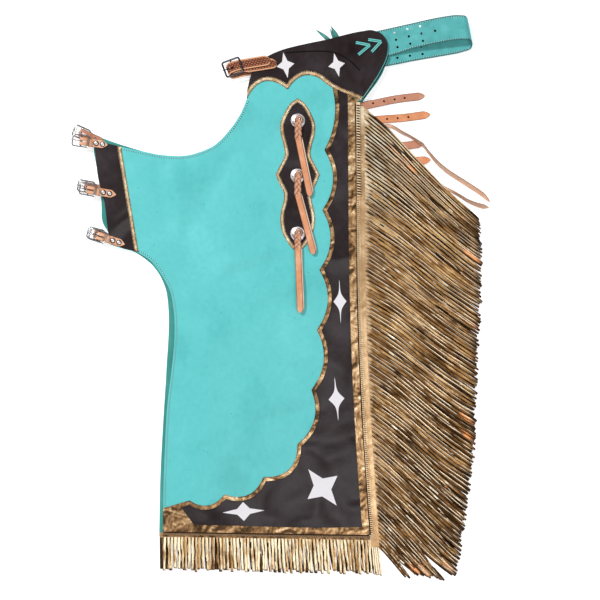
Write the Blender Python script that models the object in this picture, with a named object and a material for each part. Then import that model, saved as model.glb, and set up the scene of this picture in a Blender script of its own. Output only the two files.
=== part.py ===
"""A pair of fringed leather rodeo chaps, laid flat with one leg on the other.

The lower leg lies face down on the floor and the upper leg lies on it face up.
+X points to the fringed side seam, +Y to the waist and +Z up. The origin is at
the middle of the footprint, on the floor. Every size below is in millimetres,
and the finished meshes are scaled to metres.
"""

import math
import random

import bmesh
import bpy
from mathutils import Matrix, Vector

MILLIMETRE = 0.001

# The middle of the footprint in the coordinates of the tables below.
MIDDLE = Vector((0.8, -4.0, 0.0))

# Leather thicknesses and the clearance between pieces that touch.
GAP = 0.3
LEG_THICKNESS = 1.8
OVERLAY_THICKNESS = 0.9
FRINGE_THICKNESS = 1.5
LOWER_FRINGE_THICKNESS = 1.4
BELT_THICKNESS = 3.0
STRAP_THICKNESS = 1.6
WAIST_STRAP_THICKNESS = 2.2
STRING_THICKNESS = 1.5
LACE_THICKNESS = 1.2
WELT_THICKNESS = 2.6

# Heights above a leg panel's underside at which the layers sewn on it begin.
FIRST_LAYER = LEG_THICKNESS + GAP
SECOND_LAYER = FIRST_LAYER + OVERLAY_THICKNESS + GAP
THIRD_LAYER = SECOND_LAYER + OVERLAY_THICKNESS + GAP
STRIP_LAYER = FIRST_LAYER + OVERLAY_THICKNESS - FRINGE_THICKNESS
WELT_LAYER = STRIP_LAYER + FRINGE_THICKNESS + GAP
UPPER_REST = LEG_THICKNESS + GAP
LOWER_FRINGE_REST = 0.4

# Every sheet is folded along one shared grid, so that stacked sheets nest.
CELL = 48.0
GRID_SNAP = 0.02

# Soft swells of a leg: full height within reach of a line, then a fade to nothing.
# Columns: start x, start y, end x, end y, reach, fade, lift.
TAB_LIFT = 5.7
LOWER_TAB_LIFT = STRAP_THICKNESS + GAP
UPPER_SWELLS = (
    (-372, 311, -341, 111, 105, 95, TAB_LIFT),
    (-60, 455, -25, 470, 95, 60, 5.0),
    (165, 505, 200, 490, 100, 60, 6.9),
    (150, 360, 320, 220, 100, 80, 2.6),
    (165, 350, 350, 195, 45, 60, 6.2),
)
LOWER_SWELLS = ((-372, 311, -341, 111, 100, 60, LOWER_TAB_LIFT),)

# Long soft folds that run down the upper leg.
# Columns: start x, start y, end x, end y, half width, height.
FOLDS = (
    (-150, 230, -120, -60, 70, 6.0),
    (-60, 180, -90, -300, 75, 4.5),
    (-170, -120, -150, -400, 60, 5.0),
    (10, 20, -10, -260, 65, 5.5),
)

# Edges of the upper leg. Columns: x, y, pieces of the run to the next point.
FRONT_EDGE = (
    (-25.4, 480.2, 1),
    (-48.0, 466.0, 1),
    (-59.6, 440.0, 2),
    (-67.2, 396.0, 2),
)
CROTCH_EDGE = (
    (-83.0, 359.6, 2),
    (-105.6, 329.0, 2),
    (-133.0, 302.2, 2),
    (-167.0, 287.0, 2),
    (-197.6, 281.0, 2),
    (-235.8, 282.4, 1),
    (-270.2, 289.0, 1),
)
TAB_EDGE = (
    (-326.8, 301.2, 1),
    (-372.0, 311.0, 1),
    (-362.4, 228.0, 1),
    (-353.4, 195.8, 1),
    (-344.6, 131.6, 1),
    (-341.0, 111.0, 1),
    (-316.0, 97.6, 1),
    (-291.8, 91.0, 2),
)
UNDER_EDGE = (
    (-280.2, 85.0, 2),
    (-257.0, 69.0, 2),
    (-236.6, 41.0, 2),
    (-221.0, 11.0, 2),
    (-215.0, -20.0, 1),
    (-221.0, -127.0, 1),
    (-229.0, -247.0, 1),
    (-234.5, -380.0, 1),
)
HEM_EDGE = ((-235.5, -473.0, 1), (139.0, -479.0, 1))
SIDE_SEAM = (
    (181.0, -478.0, 1),
    (176.4, -425.0, 1),
    (163.4, -227.0, 1),
    (157.6, -103.0, 1),
    (154.4, 7.0, 1),
    (153.4, 153.0, 1),
    (152.0, 293.0, 1),
    (150.6, 388.0, 1),
)
BACK_EDGE = (
    (160.4, 392.2, 1),
    (198.6, 451.4, 1),
    (212.0, 482.0, 2),
    (214.0, 505.0, 2),
    (202.4, 524.2, 2),
    (183.0, 531.8, 1),
)
WAIST_EDGE = ((164.2, 529.8, 1), (99.0, 514.6, 1), (49.0, 501.0, 1))

# Edges of the lower leg where they show beside the upper one.
LOWER_TAB_EDGE = (
    (-241.0, 283.8, 1),
    (-316.0, 303.0, 1),
    (-351.8, 315.4, 1),
    (-373.0, 323.0, 1),
    (-374.0, 297.6, 1),
    (-366.0, 245.8, 1),
    (-359.0, 193.0, 1),
    (-354.0, 143.0, 1),
    (-346.8, 131.5, 1),
    (-344.2, 126.0, 1),
    (-340.5, 104.0, 1),
    (-316.0, 96.0, 1),
    (-291.8, 89.0, 2),
)
LOWER_UNDER_EDGE = (
    (-280.2, 82.0, 2),
    (-259.0, 65.0, 2),
    (-241.0, 41.0, 2),
    (-229.0, 11.0, 2),
    (-225.0, -20.0, 1),
    (-229.0, -151.0, 1),
    (-235.0, -247.0, 1),
    (-241.0, -367.0, 1),
)
LOWER_HEM_EDGE = ((-243.0, -473.0, 1), (139.0, -478.0, 1))
LOWER_BACK_EDGE = (
    (164.5, 390.0, 1),
    (209.8, 462.0, 1),
    (214.0, 482.0, 1),
    (212.0, 506.0, 1),
    (198.0, 524.0, 1),
    (183.0, 530.0, 1),
)

# The gold edge of the border meets the leg in points with hollow arcs between.
# Columns: x, y, depth of the hollow up to the next point.
BORDER_POINTS = (
    (104.0, 417.4, 12.0),
    (88.0, 293.0, 19.0),
    (84.0, 173.0, 19.0),
    (78.0, 53.0, 19.0),
    (73.0, -67.0, 19.0),
    (62.0, -187.0, 20.0),
    (34.0, -296.0, 24.0),
    (-34.0, -362.0, 20.0),
    (-112.0, -396.0, 16.0),
    (-182.0, -408.0, 0.0),
)
BORDER_LEFT_END = (-234.9, -424.0)
BORDER_TOP_RIGHT = (150.4, 395.5)
# The gold runs on to the upper end of the side seam.
BORDER_SEAM_END = ((150.6, 388.0), (158.6, 391.95))
HOLLOW_STEPS = 5
EDGING = 8.0
SIDE_BAND = 16.0
HEM_BAND = 17.0
LEFT_BAND = 36.0
BORDER_END_SLANT = 26.0
BORDER_WAVE_STEPS = 2

# The yoke's lower edge: two hollows, then a straight run to the side seam.
YOKE_POINTS = (
    (-67.2, 396.0, 26.0),
    (14.0, 414.0, 24.0),
    (93.0, 424.0, 0.0),
)
YOKE_STEPS = 7

# The thigh patch, a pointed ogee the same on both sides of its middle line.
# Columns: half width, y, pieces of the run to the next point.
PATCH_MIDDLE = 34.3
PATCH_HALF = (
    (0.0, 90.0, 3),
    (28.0, 122.0, 3),
    (34.5, 160.0, 3),
    (27.0, 205.0, 2),
    (44.0, 243.6, 2),
    (25.5, 283.5, 3),
    (34.5, 345.0, 3),
)
PATCH_TOP = 396.0
PATCH_EDGING = 7.0

# Plain four-pointed stars cut from white leather.
# Columns: name, x, y, half width, half height, turn in degrees.
STARS = (
    ("star_yoke_front", 10.0, 462.0, 18.0, 26.0, 10.0),
    ("star_yoke_back", 112.0, 462.0, 17.0, 24.0, 12.0),
    ("star_side_top", 119.0, -10.0, 13.0, 44.0, 2.0),
    ("star_side_bottom", 112.0, -205.0, 16.0, 44.0, 5.0),
    ("star_corner", 84.0, -382.0, 38.0, 46.0, 38.0),
    ("star_hem", -74.0, -430.0, 42.0, 19.0, 3.0),
)
STAR_WAIST = 0.30

# Side fringe: roots along the seam, tips on the line of the cut ends.
STRIP_WIDTH = 16.0
SIDE_TOP = 381.0
SIDE_BOTTOM = -502.0
SIDE_STRANDS = 110
LOWER_SIDE_STRANDS = 50
SIDE_SLIT = 1.1
STRAND_SWAY = 2.6
END_STRANDS = 4
END_LEAN = 7.0
TIP_HEIGHT = 5.2
# Columns: root y, fall of the strand below the level in degrees.
STRAND_FALL = ((-502, 47), (-400, 45), (-200, 38), (0, 34), (200, 37), (300, 40), (381, 44))
# Columns: y, reach of the strands in x.
STRAND_REACH = (
    (-570, 352),
    (-463, 367),
    (-391, 378),
    (-319, 388),
    (-151, 394),
    (-55, 399),
    (20, 403),
    (80, 403),
    (155, 400),
)
STRAND_FLOOR = -561.0
HEM_DROP = 8.0
HEM_LENGTH = 67.0
HEM_STRANDS = 60
LOWER_HEM_STRANDS = 24
HEM_SLIT = 1.1

# The back belt's middle line. Columns: x, y, z, width. Its fold is a half turn.
BELT_DIRECTION = math.radians(11.0)
BELT_FOLD_RADIUS = 8.0
BELT_FOLD_STEPS = 6
BELT_UPPER = (
    (160.0, 496.0, 7.0, 54.0),
    (219.0, 509.0, 7.0, 54.0),
    (262.0, 520.0, 10.5, 50.0),
    (308.0, 529.5, 15.5, 50.0),
    (350.0, 536.0, 17.7, 50.0),
)
BELT_LOWER = (
    (350.0, 512.0, 1.7, 50.0),
    (308.0, 504.5, 1.6, 50.0),
    (262.0, 497.0, 1.8, 51.0),
    (226.0, 491.0, 3.8, 54.0),
    (160.0, 479.0, 3.8, 54.0),
)
BELT_FOLD_CENTRE = (370.0, 527.0, 9.7)
BELT_FOLD_SLIDE = 9.0
BELT_HOLE_RADIUS = 2.3
HOLE_SIDES = 6
# Columns: middle x of the row of holes, middle y on the upper run and on the lower.
BELT_HOLES = ((231.0, 513.2, 492.6), (256.4, 519.6, 497.0), (281.6, 524.8, 500.6))
BELT_HOLE_PITCH = 15.0
BELT_LAST_HOLE = (308.4, 529.6)

# Leg straps that come out under the fringe.
# Columns: x, y, z, twist in degrees, width.
LEG_STRAPS = {
    "strap_1": (
        (122.0, 376.0, 3.0, 0, 16),
        (171.0, 383.0, 3.0, 0, 16),
        (229.0, 395.0, 1.3, 0, 16),
        (272.0, 400.6, 1.0, 0, 16),
        (288.4, 402.4, 1.0, 0, 5),
    ),
    "strap_2": (
        (122.0, 346.0, 3.0, 0, 16),
        (195.0, 354.0, 3.0, 0, 16),
        (245.0, 358.0, 1.3, 0, 16),
        (283.0, 363.0, 1.0, 0, 16),
        (299.2, 365.0, 1.0, 0, 5),
    ),
    "strap_3": (
        (122.0, 294.0, 3.0, 0, 16),
        (190.0, 298.0, 3.0, 0, 16),
        (249.0, 302.0, 3.0, 0, 16),
        (271.0, 304.6, 2.6, 0, 16),
        (286.0, 306.2, 2.2, 0, 5),
    ),
    "strap_4": (
        (122.0, 264.0, 3.0, 0, 16),
        (200.0, 268.0, 3.0, 0, 16),
        (284.0, 272.5, 3.0, 0, 16),
        (300.0, 273.8, 3.0, 0, 5),
    ),
    "strap_5": (
        (122.0, 316.0, 3.0, 0, 16),
        (175.0, 324.0, 3.0, 0, 16),
        (204.0, 337.0, 3.0, 0, 11),
        (216.0, 341.5, 3.2, 10, 8),
        (228.0, 337.5, 5.5, 50, 9),
        (241.0, 329.0, 8.8, 68, 12),
        (262.0, 317.5, 12.2, 80, 15),
        (283.0, 303.5, 13.3, 82, 16),
        (297.0, 286.0, 13.3, 82, 16),
        (313.0, 267.5, 12.4, 74, 16),
        (334.0, 250.0, 9.8, 55, 16),
        (368.0, 228.0, 8.2, 48, 16),
        (403.0, 205.0, 6.0, 38, 14),
        (418.23, 190.0, 4.6, 30, 5),
    ),
    "strap_6": (
        (122.0, 234.0, 3.0, 0, 16),
        (220.0, 237.0, 3.0, 0, 16),
        (285.0, 237.0, 3.0, 0, 16),
        (316.0, 228.0, 3.0, 0, 12),
        (332.0, 219.5, 3.2, 10, 8),
        (346.0, 210.0, 6.2, 50, 9),
        (358.0, 201.5, 8.6, 66, 13),
        (373.0, 192.0, 10.0, 66, 16),
        (390.0, 184.5, 9.0, 58, 16),
        (406.0, 180.0, 7.0, 50, 15),
        (417.4, 177.5, 5.0, 40, 5),
    ),
}

# Leg buckles. Columns: name, x, y, turn in degrees, tip distance, face up.
BUCKLES = (
    ("upper_top", -397.8, 310.0, -8.0, 53.0, True),
    ("upper_middle", -383.4, 213.0, -10.0, 56.0, True),
    ("upper_bottom", -363.4, 121.0, -18.0, 55.0, True),
    ("lower_top", -399.0, 328.0, -24.0, 50.0, False),
    ("lower_middle", -389.6, 220.5, -10.0, 50.0, False),
    ("lower_bottom", -370.5, 125.0, -14.0, 50.0, False),
)
FRAME_LENGTH = 35.0
FRAME_WIDTH = 25.0
WIRE_RADIUS = 1.3
PRONG_RADIUS = 1.0
BUCKLE_STRAP_WIDTH = 16.0
PLAY = 0.35
FOLD_RADIUS = WIRE_RADIUS + PLAY + STRAP_THICKNESS / 2
BAR_DROP = FOLD_RADIUS + STRAP_THICKNESS / 2 + GAP + WIRE_RADIUS
LOWER_BAR_HEIGHT = 2 * PRONG_RADIUS + GAP + WIRE_RADIUS + BAR_DROP
UPPER_BAR_HEIGHT = LOWER_BAR_HEIGHT + 2 * (FOLD_RADIUS + STRAP_THICKNESS / 2) + 2 * GAP
SLOT_HALF_WIDTH = 1.6

# The waist buckle and its two straps.
WAIST_BUCKLE_X = -95.2
WAIST_BUCKLE_Y = 456.8
WAIST_BUCKLE_TURN = 20.0
WAIST_FRAME_LENGTH = 39.0
WAIST_FRAME_WIDTH = 34.0
WAIST_WIRE_RADIUS = 1.6
WAIST_PRONG_RADIUS = 1.1
WAIST_STRAP_WIDTH = 21.0
WAIST_BAR_HEIGHT = 9.6
WAIST_FOLD_RADIUS = WAIST_WIRE_RADIUS + PLAY + WAIST_STRAP_THICKNESS / 2
WAIST_BILLET_RADIUS = WAIST_FOLD_RADIUS + WAIST_STRAP_THICKNESS + 1.5 * GAP
WAIST_BILLET_TURN = -6.0
WAIST_BAR_DROP = WAIST_BILLET_RADIUS + WAIST_STRAP_THICKNESS / 2 + GAP + WAIST_WIRE_RADIUS

# Conchos and their braided strings. Columns: name, concho x, concho y, braid end y,
# tail tip x, tail tip y.
CONCHO_RADIUS = 14.5
CONCHO_HEIGHT = 3.6
CONCHO_SIDES = 16
CONCHOS = (
    ("top", 35.0, 351.4, 312.0, 60.0, 200.0),
    ("middle", 34.2, 241.6, 200.0, 67.0, 84.0),
    ("bottom", 34.2, 125.6, 94.0, 40.0, -33.0),
)
BRAID_WIDTH = 16.0
TAIL_WIDTH = 12.5
# Columns: share of the tail's length, lift, share of its width.
TAIL_STATIONS = (
    (0.30, 0.4, 1.0),
    (0.48, 3.2, 1.0),
    (0.76, 3.2, 1.0),
    (0.93, 0.5, 1.0),
    (1.00, 0.0, 0.25),
)

# Turquoise laces. Each chevron: one end, the tip, the other end.
CHEVRONS = {
    "chevron_front": ((150.6, 506.8), (178.4, 501.4), (155.6, 482.6)),
    "chevron_back": ((175.4, 512.6), (201.0, 508.8), (182.2, 488.4)),
}
LACE_WIDTH = 6.0
# Lace ends that stick out past the waist edge, as outlines.
LACE_TAILS = {
    "lace_tail_front": ((70.6, 534.4), (77.6, 525.0), (96.0, 509.5), (104.5, 511.5), (86.0, 526.6)),
    "lace_tail_back": (
        (98.6, 537.0), (101.6, 526.5), (105.0, 511.5), (121.0, 515.5),
        (110.6, 531.5), (100.8, 542.4), (102.8, 531.5),
    ),
}
LACE_TAIL_HEIGHT = LEG_THICKNESS + GAP

random_source = random.Random(11)


def clear_scene():
    """Remove every object, so that the model starts from nothing."""
    for old in list(bpy.data.objects):
        bpy.data.objects.remove(old, do_unlink=True)


def make_collection(name):
    """Return a new collection that is linked to the scene."""
    group = bpy.data.collections.new(name)
    bpy.context.scene.collection.children.link(group)
    return group


def make_material(name, colour, roughness, metallic=0.0):
    """Return a plain Principled material."""
    material = bpy.data.materials.new(name)
    material.use_nodes = True
    shader = material.node_tree.nodes["Principled BSDF"]
    shader.inputs["Base Color"].default_value = (*colour, 1.0)
    shader.inputs["Roughness"].default_value = roughness
    shader.inputs["Metallic"].default_value = metallic
    return material


# ---------------------------------------------------------------- heights

def smooth_step(value):
    """Ease from 0 to 1."""
    value = min(max(value, 0.0), 1.0)
    return value * value * (3.0 - 2.0 * value)


def distance_to_line(x, y, x0, y0, x1, y1):
    """Distance from a point to a straight piece of line."""
    run = Vector((x1 - x0, y1 - y0))
    along = Vector((x - x0, y - y0)).dot(run) / run.length_squared
    nearest = Vector((x0, y0)) + run * min(max(along, 0.0), 1.0)
    return (Vector((x, y)) - nearest).length


def swell_height(x, y, swells):
    """Height of the tallest swell at a place."""
    height = 0.0
    for x0, y0, x1, y1, reach, fade, lift in swells:
        distance = distance_to_line(x, y, x0, y0, x1, y1)
        height = max(height, lift * (1.0 - smooth_step((distance - reach) / fade)))
    return height


def upper_surface(x, y):
    """Height of the upper leg's underside."""
    height = UPPER_REST + swell_height(x, y, UPPER_SWELLS)
    for x0, y0, x1, y1, half_width, rise in FOLDS:
        distance = distance_to_line(x, y, x0, y0, x1, y1)
        height += rise * (1.0 - smooth_step(distance / (half_width * 1.6)))
    return height


def lower_surface(x, y):
    """Height of the lower leg's underside."""
    return swell_height(x, y, LOWER_SWELLS)


def on_grid(surface, x, y):
    """Height of a surface, flat between the corners of the shared grid."""
    column = math.floor(x / CELL)
    row = math.floor(y / CELL)
    across = x / CELL - column
    up = y / CELL - row
    right = surface((column + 1) * CELL, row * CELL)
    top = surface(column * CELL, (row + 1) * CELL)
    if across + up <= 1.0:
        corner = surface(column * CELL, row * CELL)
        return corner + across * (right - corner) + up * (top - corner)
    corner = surface((column + 1) * CELL, (row + 1) * CELL)
    return corner + (1.0 - across) * (top - corner) + (1.0 - up) * (right - corner)


# --------------------------------------------------------------- outlines

def smooth_outline(rows):
    """Points of a closed outline whose curved runs pass smoothly through the rows."""
    count = len(rows)
    points = []
    for index, (x, y, steps) in enumerate(rows):
        start = Vector((x, y))
        end = Vector(rows[(index + 1) % count][:2])
        points.append(start)
        if steps == 1:
            continue
        before = rows[index - 1]
        after = rows[(index + 2) % count]
        leave = (end - Vector(before[:2])) / 2 if before[2] > 1 else end - start
        arrive = (Vector(after[:2]) - start) / 2 if rows[(index + 1) % count][2] > 1 else end - start
        for step in range(1, steps):
            t = step / steps
            points.append(
                start * (2 * t**3 - 3 * t**2 + 1)
                + leave * (t**3 - 2 * t**2 + t)
                + end * (3 * t**2 - 2 * t**3)
                + arrive * (t**3 - t**2)
            )
    return points


def hollow_run(start, end, depth, steps):
    """Points from start up to end along a shallow arc that bends to the right."""
    run = end - start
    side = Vector((run.y, -run.x)).normalized()
    points = []
    for step in range(steps if depth else 1):
        t = step / steps
        points.append(start + run * t + side * (-depth * 4 * t * (1 - t)))
    return points


def inset(points, bands):
    """Move each edge of an anticlockwise outline inwards by its own band."""
    count = len(points)
    result = []
    for index, point in enumerate(points):
        before = (point - points[index - 1]).normalized()
        after = (points[(index + 1) % count] - point).normalized()
        inward_before = Vector((-before.y, before.x))
        inward_after = Vector((-after.y, after.x))
        turn = before.x * after.y - before.y * after.x
        band_before = bands[index - 1]
        band_after = bands[index]
        if abs(turn) < 1e-3:
            result.append(point + inward_after * band_after)
            continue
        slide = (band_after - band_before * before.dot(after)) / turn
        result.append(point + inward_before * band_before - before * slide)
    return result


def plain(rows):
    """The corner points of rows that have no curved run."""
    return [Vector(row[:2]) for row in rows]


def border_outline():
    """Outline of the gold border with the width of gold that shows on each edge."""
    points = []
    bands = []
    corners = list(BORDER_POINTS) + [(*BORDER_LEFT_END, 0.0)]
    for (x, y, depth), (next_x, next_y, _) in zip(corners, corners[1:]):
        run = hollow_run(Vector((x, y)), Vector((next_x, next_y)), depth, HOLLOW_STEPS)
        points += run
        bands += [EDGING] * len(run)
    points.append(Vector(BORDER_LEFT_END))
    bands.append(LEFT_BAND)
    points += plain(HEM_EDGE)
    bands += [HEM_BAND] * len(HEM_EDGE)
    points += plain(SIDE_SEAM[:-1])
    bands += [SIDE_BAND] * (len(SIDE_SEAM) - 1)
    points.append(Vector(BORDER_TOP_RIGHT))
    bands.append(0.0)
    return points, bands


def yoke_outline():
    """Outline of the yoke with the width of gold that shows on each edge."""
    points = smooth_outline(FRONT_EDGE)[:-1]
    points = [p for p in points if p.y > YOKE_POINTS[0][1] + 1.0]
    bands = [0.0] * len(points)
    corners = list(YOKE_POINTS) + [(*BACK_EDGE[0][:2], 0.0)]
    for (x, y, depth), (next_x, next_y, _) in zip(corners, corners[1:]):
        run = hollow_run(Vector((x, y)), Vector((next_x, next_y)), depth, YOKE_STEPS)
        points += run
        bands += [EDGING] * len(run)
    rest = smooth_outline(BACK_EDGE + WAIST_EDGE)
    points += rest
    bands += [0.0] * len(rest)
    return points, bands


def patch_outline():
    """Outline of the thigh patch."""
    right = [(PATCH_MIDDLE + half, y, steps) for half, y, steps in PATCH_HALF]
    left = [(PATCH_MIDDLE - half, y) for half, y, _ in PATCH_HALF[1:]]
    steps_down = [steps for _, _, steps in PATCH_HALF]
    left_rows = [(x, y, steps) for (x, y), steps in zip(reversed(left), reversed(steps_down[:-1]))]
    top = [(PATCH_MIDDLE, PATCH_TOP, PATCH_HALF[-1][2])]
    points = smooth_outline(right + top + left_rows)
    return points


def star_outline(x, y, half_width, half_height, turn):
    """Outline of a four-pointed star."""
    angle = math.radians(turn)
    points = []
    for corner in range(8):
        direction = math.radians(45.0 * corner)
        scale = 1.0 if corner % 2 == 0 else STAR_WAIST * math.sqrt(2.0)
        across = half_width * scale * math.cos(direction)
        along = half_height * scale * math.sin(direction)
        points.append(Vector((
            x + across * math.cos(angle) - along * math.sin(angle),
            y + across * math.sin(angle) + along * math.cos(angle),
        )))
    return points


# ----------------------------------------------------------------- meshes

def publish(bm, name, material, group):
    """Turn a mesh measured in millimetres into an object in metres."""
    bmesh.ops.recalc_face_normals(bm, faces=bm.faces[:])
    bmesh.ops.translate(bm, vec=-MIDDLE, verts=bm.verts[:])
    bmesh.ops.scale(bm, vec=(MILLIMETRE,) * 3, verts=bm.verts[:])
    mesh = bpy.data.meshes.new(name)
    bm.to_mesh(mesh)
    bm.free()
    mesh.materials.append(material)
    made = bpy.data.objects.new(name, mesh)
    group.objects.link(made)
    return made


def fold_along_grid(bm):
    """Cut flat faces along the lines of the shared grid."""
    for direction in (Vector((1, 0, 0)), Vector((0, 1, 0)), Vector((1, 1, 0))):
        reach = [vert.co.dot(direction) / CELL for vert in bm.verts]
        for line in range(math.ceil(min(reach)), math.floor(max(reach)) + 1):
            bmesh.ops.bisect_plane(
                bm,
                geom=bm.verts[:] + bm.edges[:] + bm.faces[:],
                dist=GRID_SNAP,
                plane_co=direction * (line * CELL / direction.length_squared),
                plane_no=direction,
            )


def thicken(bm, thickness):
    """Give an open sheet its thickness, straight up."""
    made = bmesh.ops.extrude_face_region(bm, geom=bm.faces[:], use_keep_orig=True)
    for item in made["geom"]:
        if isinstance(item, bmesh.types.BMVert):
            item.co.z += thickness


def make_sheet(name, outline, surface, layer, thickness, material, group):
    """A flat-cut piece that follows a surface at a height above it."""
    bm = bmesh.new()
    bm.faces.new([bm.verts.new((point.x, point.y, 0.0)) for point in outline])
    fold_along_grid(bm)
    for vert in bm.verts:
        vert.co.z = on_grid(surface, vert.co.x, vert.co.y) + layer
    thicken(bm, thickness)
    return publish(bm, name, material, group)


def make_ribbon(name, rows, thickness, material, group, place=None):
    """A strap lofted through rows of middle point and half-width vector."""
    bm = bmesh.new()
    middles = [row[0] for row in rows]
    rings = []
    for index, (middle, half_width) in enumerate(rows):
        before = middle - middles[max(index - 1, 0)]
        after = middles[min(index + 1, len(rows) - 1)] - middle
        before = before.normalized() if before.length else after.normalized()
        after = after.normalized() if after.length else before
        tangent = (before + after).normalized()
        spread = max(tangent.dot(after), 0.5)
        normal = half_width.cross(tangent).normalized() * (thickness / 2 / spread)
        ring = (
            middle - half_width - normal,
            middle + half_width - normal,
            middle + half_width + normal,
            middle - half_width + normal,
        )
        rings.append([bm.verts.new(corner) for corner in ring])
    for ring, following in zip(rings, rings[1:]):
        for side in range(4):
            other = (side + 1) % 4
            bm.faces.new((ring[side], ring[other], following[other], following[side]))
    bm.faces.new(rings[0])
    bm.faces.new(rings[-1])
    if place is not None:
        bmesh.ops.transform(bm, matrix=place, verts=bm.verts[:])
    return publish(bm, name, material, group)


def make_wire(name, points, radii, cyclic, place, group):
    """A round wire through points, as a closed mesh in metres."""
    curve = bpy.data.curves.new(name, "CURVE")
    curve.dimensions = "3D"
    curve.bevel_depth = MILLIMETRE
    curve.bevel_resolution = 1
    curve.use_fill_caps = True
    spline = curve.splines.new("POLY")
    spline.points.add(len(points) - 1)
    for target, point, radius in zip(spline.points, points, radii):
        target.co = (*((place @ Vector(point) - MIDDLE) * MILLIMETRE), 1.0)
        target.radius = radius
    spline.use_cyclic_u = cyclic
    guide = bpy.data.objects.new(name, curve)
    group.objects.link(guide)
    bpy.context.view_layer.update()
    evaluated = guide.evaluated_get(bpy.context.evaluated_depsgraph_get())
    mesh = bpy.data.meshes.new_from_object(evaluated)
    bpy.data.objects.remove(guide, do_unlink=True)
    bpy.data.curves.remove(curve)
    bm = bmesh.new()
    bm.from_mesh(mesh)
    bmesh.ops.remove_doubles(bm, verts=bm.verts[:], dist=1e-6)
    bmesh.ops.recalc_face_normals(bm, faces=bm.faces[:])
    bm.to_mesh(mesh)
    bm.free()
    mesh.name = name
    made = bpy.data.objects.new(name, mesh)
    group.objects.link(made)
    return made


def set_material(made, material):
    """Give an object its only material."""
    made.data.materials.clear()
    made.data.materials.append(material)


def combine(made, cutter, operation):
    """Join a cutter to an object or cut it away."""
    cutter.hide_render = True
    cutter.display_type = "WIRE"
    modifier = made.modifiers.new(cutter.name, "BOOLEAN")
    modifier.operation = operation
    modifier.solver = "EXACT"
    modifier.object = cutter


def make_box_cutter(name, size, middle, place, cutters):
    """A box that cuts a slot."""
    bm = bmesh.new()
    bmesh.ops.create_cube(bm, size=1.0)
    bmesh.ops.scale(bm, vec=size, verts=bm.verts[:])
    bmesh.ops.transform(bm, matrix=place @ Matrix.Translation(middle), verts=bm.verts[:])
    return publish(bm, name, None, cutters)


def make_hole_cutters(name, holes, radius, depth, cutters):
    """Upright round punches, all in one object."""
    bm = bmesh.new()
    for hole in holes:
        bmesh.ops.create_cone(
            bm,
            cap_ends=True,
            segments=HOLE_SIDES,
            radius1=radius,
            radius2=radius,
            depth=depth,
            matrix=Matrix.Translation(hole),
        )
    return publish(bm, name, None, cutters)


# ----------------------------------------------------------------- fringe

def table_value(table, key):
    """Read a two-column table, straight between its rows."""
    if key <= table[0][0]:
        return table[0][1]
    for (low, low_value), (high, high_value) in zip(table, table[1:]):
        if key <= high:
            return low_value + (high_value - low_value) * (key - low) / (high - low)
    return table[-1][1]


def seam_x(y):
    """The side seam's x at a height along the leg."""
    return table_value([(row_y, row_x) for row_x, row_y, _ in SIDE_SEAM], y)


def make_fringe(name, inner, roots, strands, surface, layer, thickness, material, group):
    """A narrow strip whose outer edge is cut into strands.

    inner runs back along the seam, roots holds the two root points of each strand
    and strands the pairs of points that follow, with their heights.
    """
    bm = bmesh.new()
    outline = [point for pair in roots for point in pair] + inner
    bm.faces.new([bm.verts.new((point.x, point.y, 0.0)) for point in outline])
    fold_along_grid(bm)
    bm.verts.ensure_lookup_table()
    strip = bm.verts[:]
    for (first, last), stations in zip(roots, strands):
        span = (last - first).length + 1e-4
        run = (last - first).normalized()
        edge = []
        for vert in strip:
            offset = vert.co.xy - first
            beside = abs(offset.x * run.y - offset.y * run.x)
            if -1e-4 <= offset.dot(run) <= span and beside < 1e-3:
                edge.append(vert)
        edge.sort(key=lambda vert: (vert.co.xy - first).dot(run))
        for left, right in stations:
            following = [bm.verts.new(left), bm.verts.new(right)]
            bm.faces.new(edge + following[::-1])
            edge = following
    for vert in strip:
        vert.co.z = on_grid(surface, vert.co.x, vert.co.y) + layer
    bmesh.ops.recalc_face_normals(bm, faces=bm.faces[:])
    thicken(bm, thickness)
    return publish(bm, name, material, group)


def side_strand(root, fall, pitch, steps, sway, surface, layer, lively):
    """Pairs of points along one side strand, after its root."""
    reach = 0.0
    while reach < 420.0:
        x = root.x + reach * math.cos(fall)
        y = root.y - reach * math.sin(fall)
        if x > table_value(STRAND_REACH, y) or y < STRAND_FLOOR:
            break
        reach += 2.0
    reach += random_source.uniform(-5.0, 2.0)
    ripple = random_source.uniform(0.2, 1.6) * lively
    turn = random_source.uniform(0.0, math.tau)
    sway *= reach / 260.0
    steps = max(2, min(steps, round(reach / 55.0)))
    stations = []
    for step in range(1, steps + 1):
        t = step / steps
        x = root.x + reach * t * math.cos(fall)
        y = root.y - reach * t * math.sin(fall) + sway * math.sin(math.tau * t)
        half = (pitch - SIDE_SLIT) / 2 * (1 - t) + (TIP_HEIGHT * pitch / 7.85) / 2 * t
        z = on_grid(surface, x, y) + layer * (1 - smooth_step(t * 2.5))
        z += ripple * (1 + math.sin(turn + 5 * t)) * math.sin(math.pi * t)
        stations.append((Vector((x, y + half, z)), Vector((x, y - half, z))))
    return stations


def end_strand(index, bottom_y, surface, layer):
    """Root points and one pair of points of a strand cut from the strip's end."""
    pitch = (STRIP_WIDTH - 2 * GAP) / END_STRANDS
    x = seam_x(bottom_y) + STRIP_WIDTH - GAP - pitch * (index + 0.5)
    half = (pitch - HEM_SLIT * 0.6) / 2
    tip_x = x + END_LEAN - 0.5 * index
    tip_y = STRAND_FLOOR + 3.0 * random_source.random()
    z = on_grid(surface, tip_x, tip_y) + layer * 0.2
    root = (Vector((x + half, bottom_y)), Vector((x - half, bottom_y)))
    tip = (Vector((tip_x + half, tip_y, z)), Vector((tip_x - half, tip_y, z)))
    return root, [tip]


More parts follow.
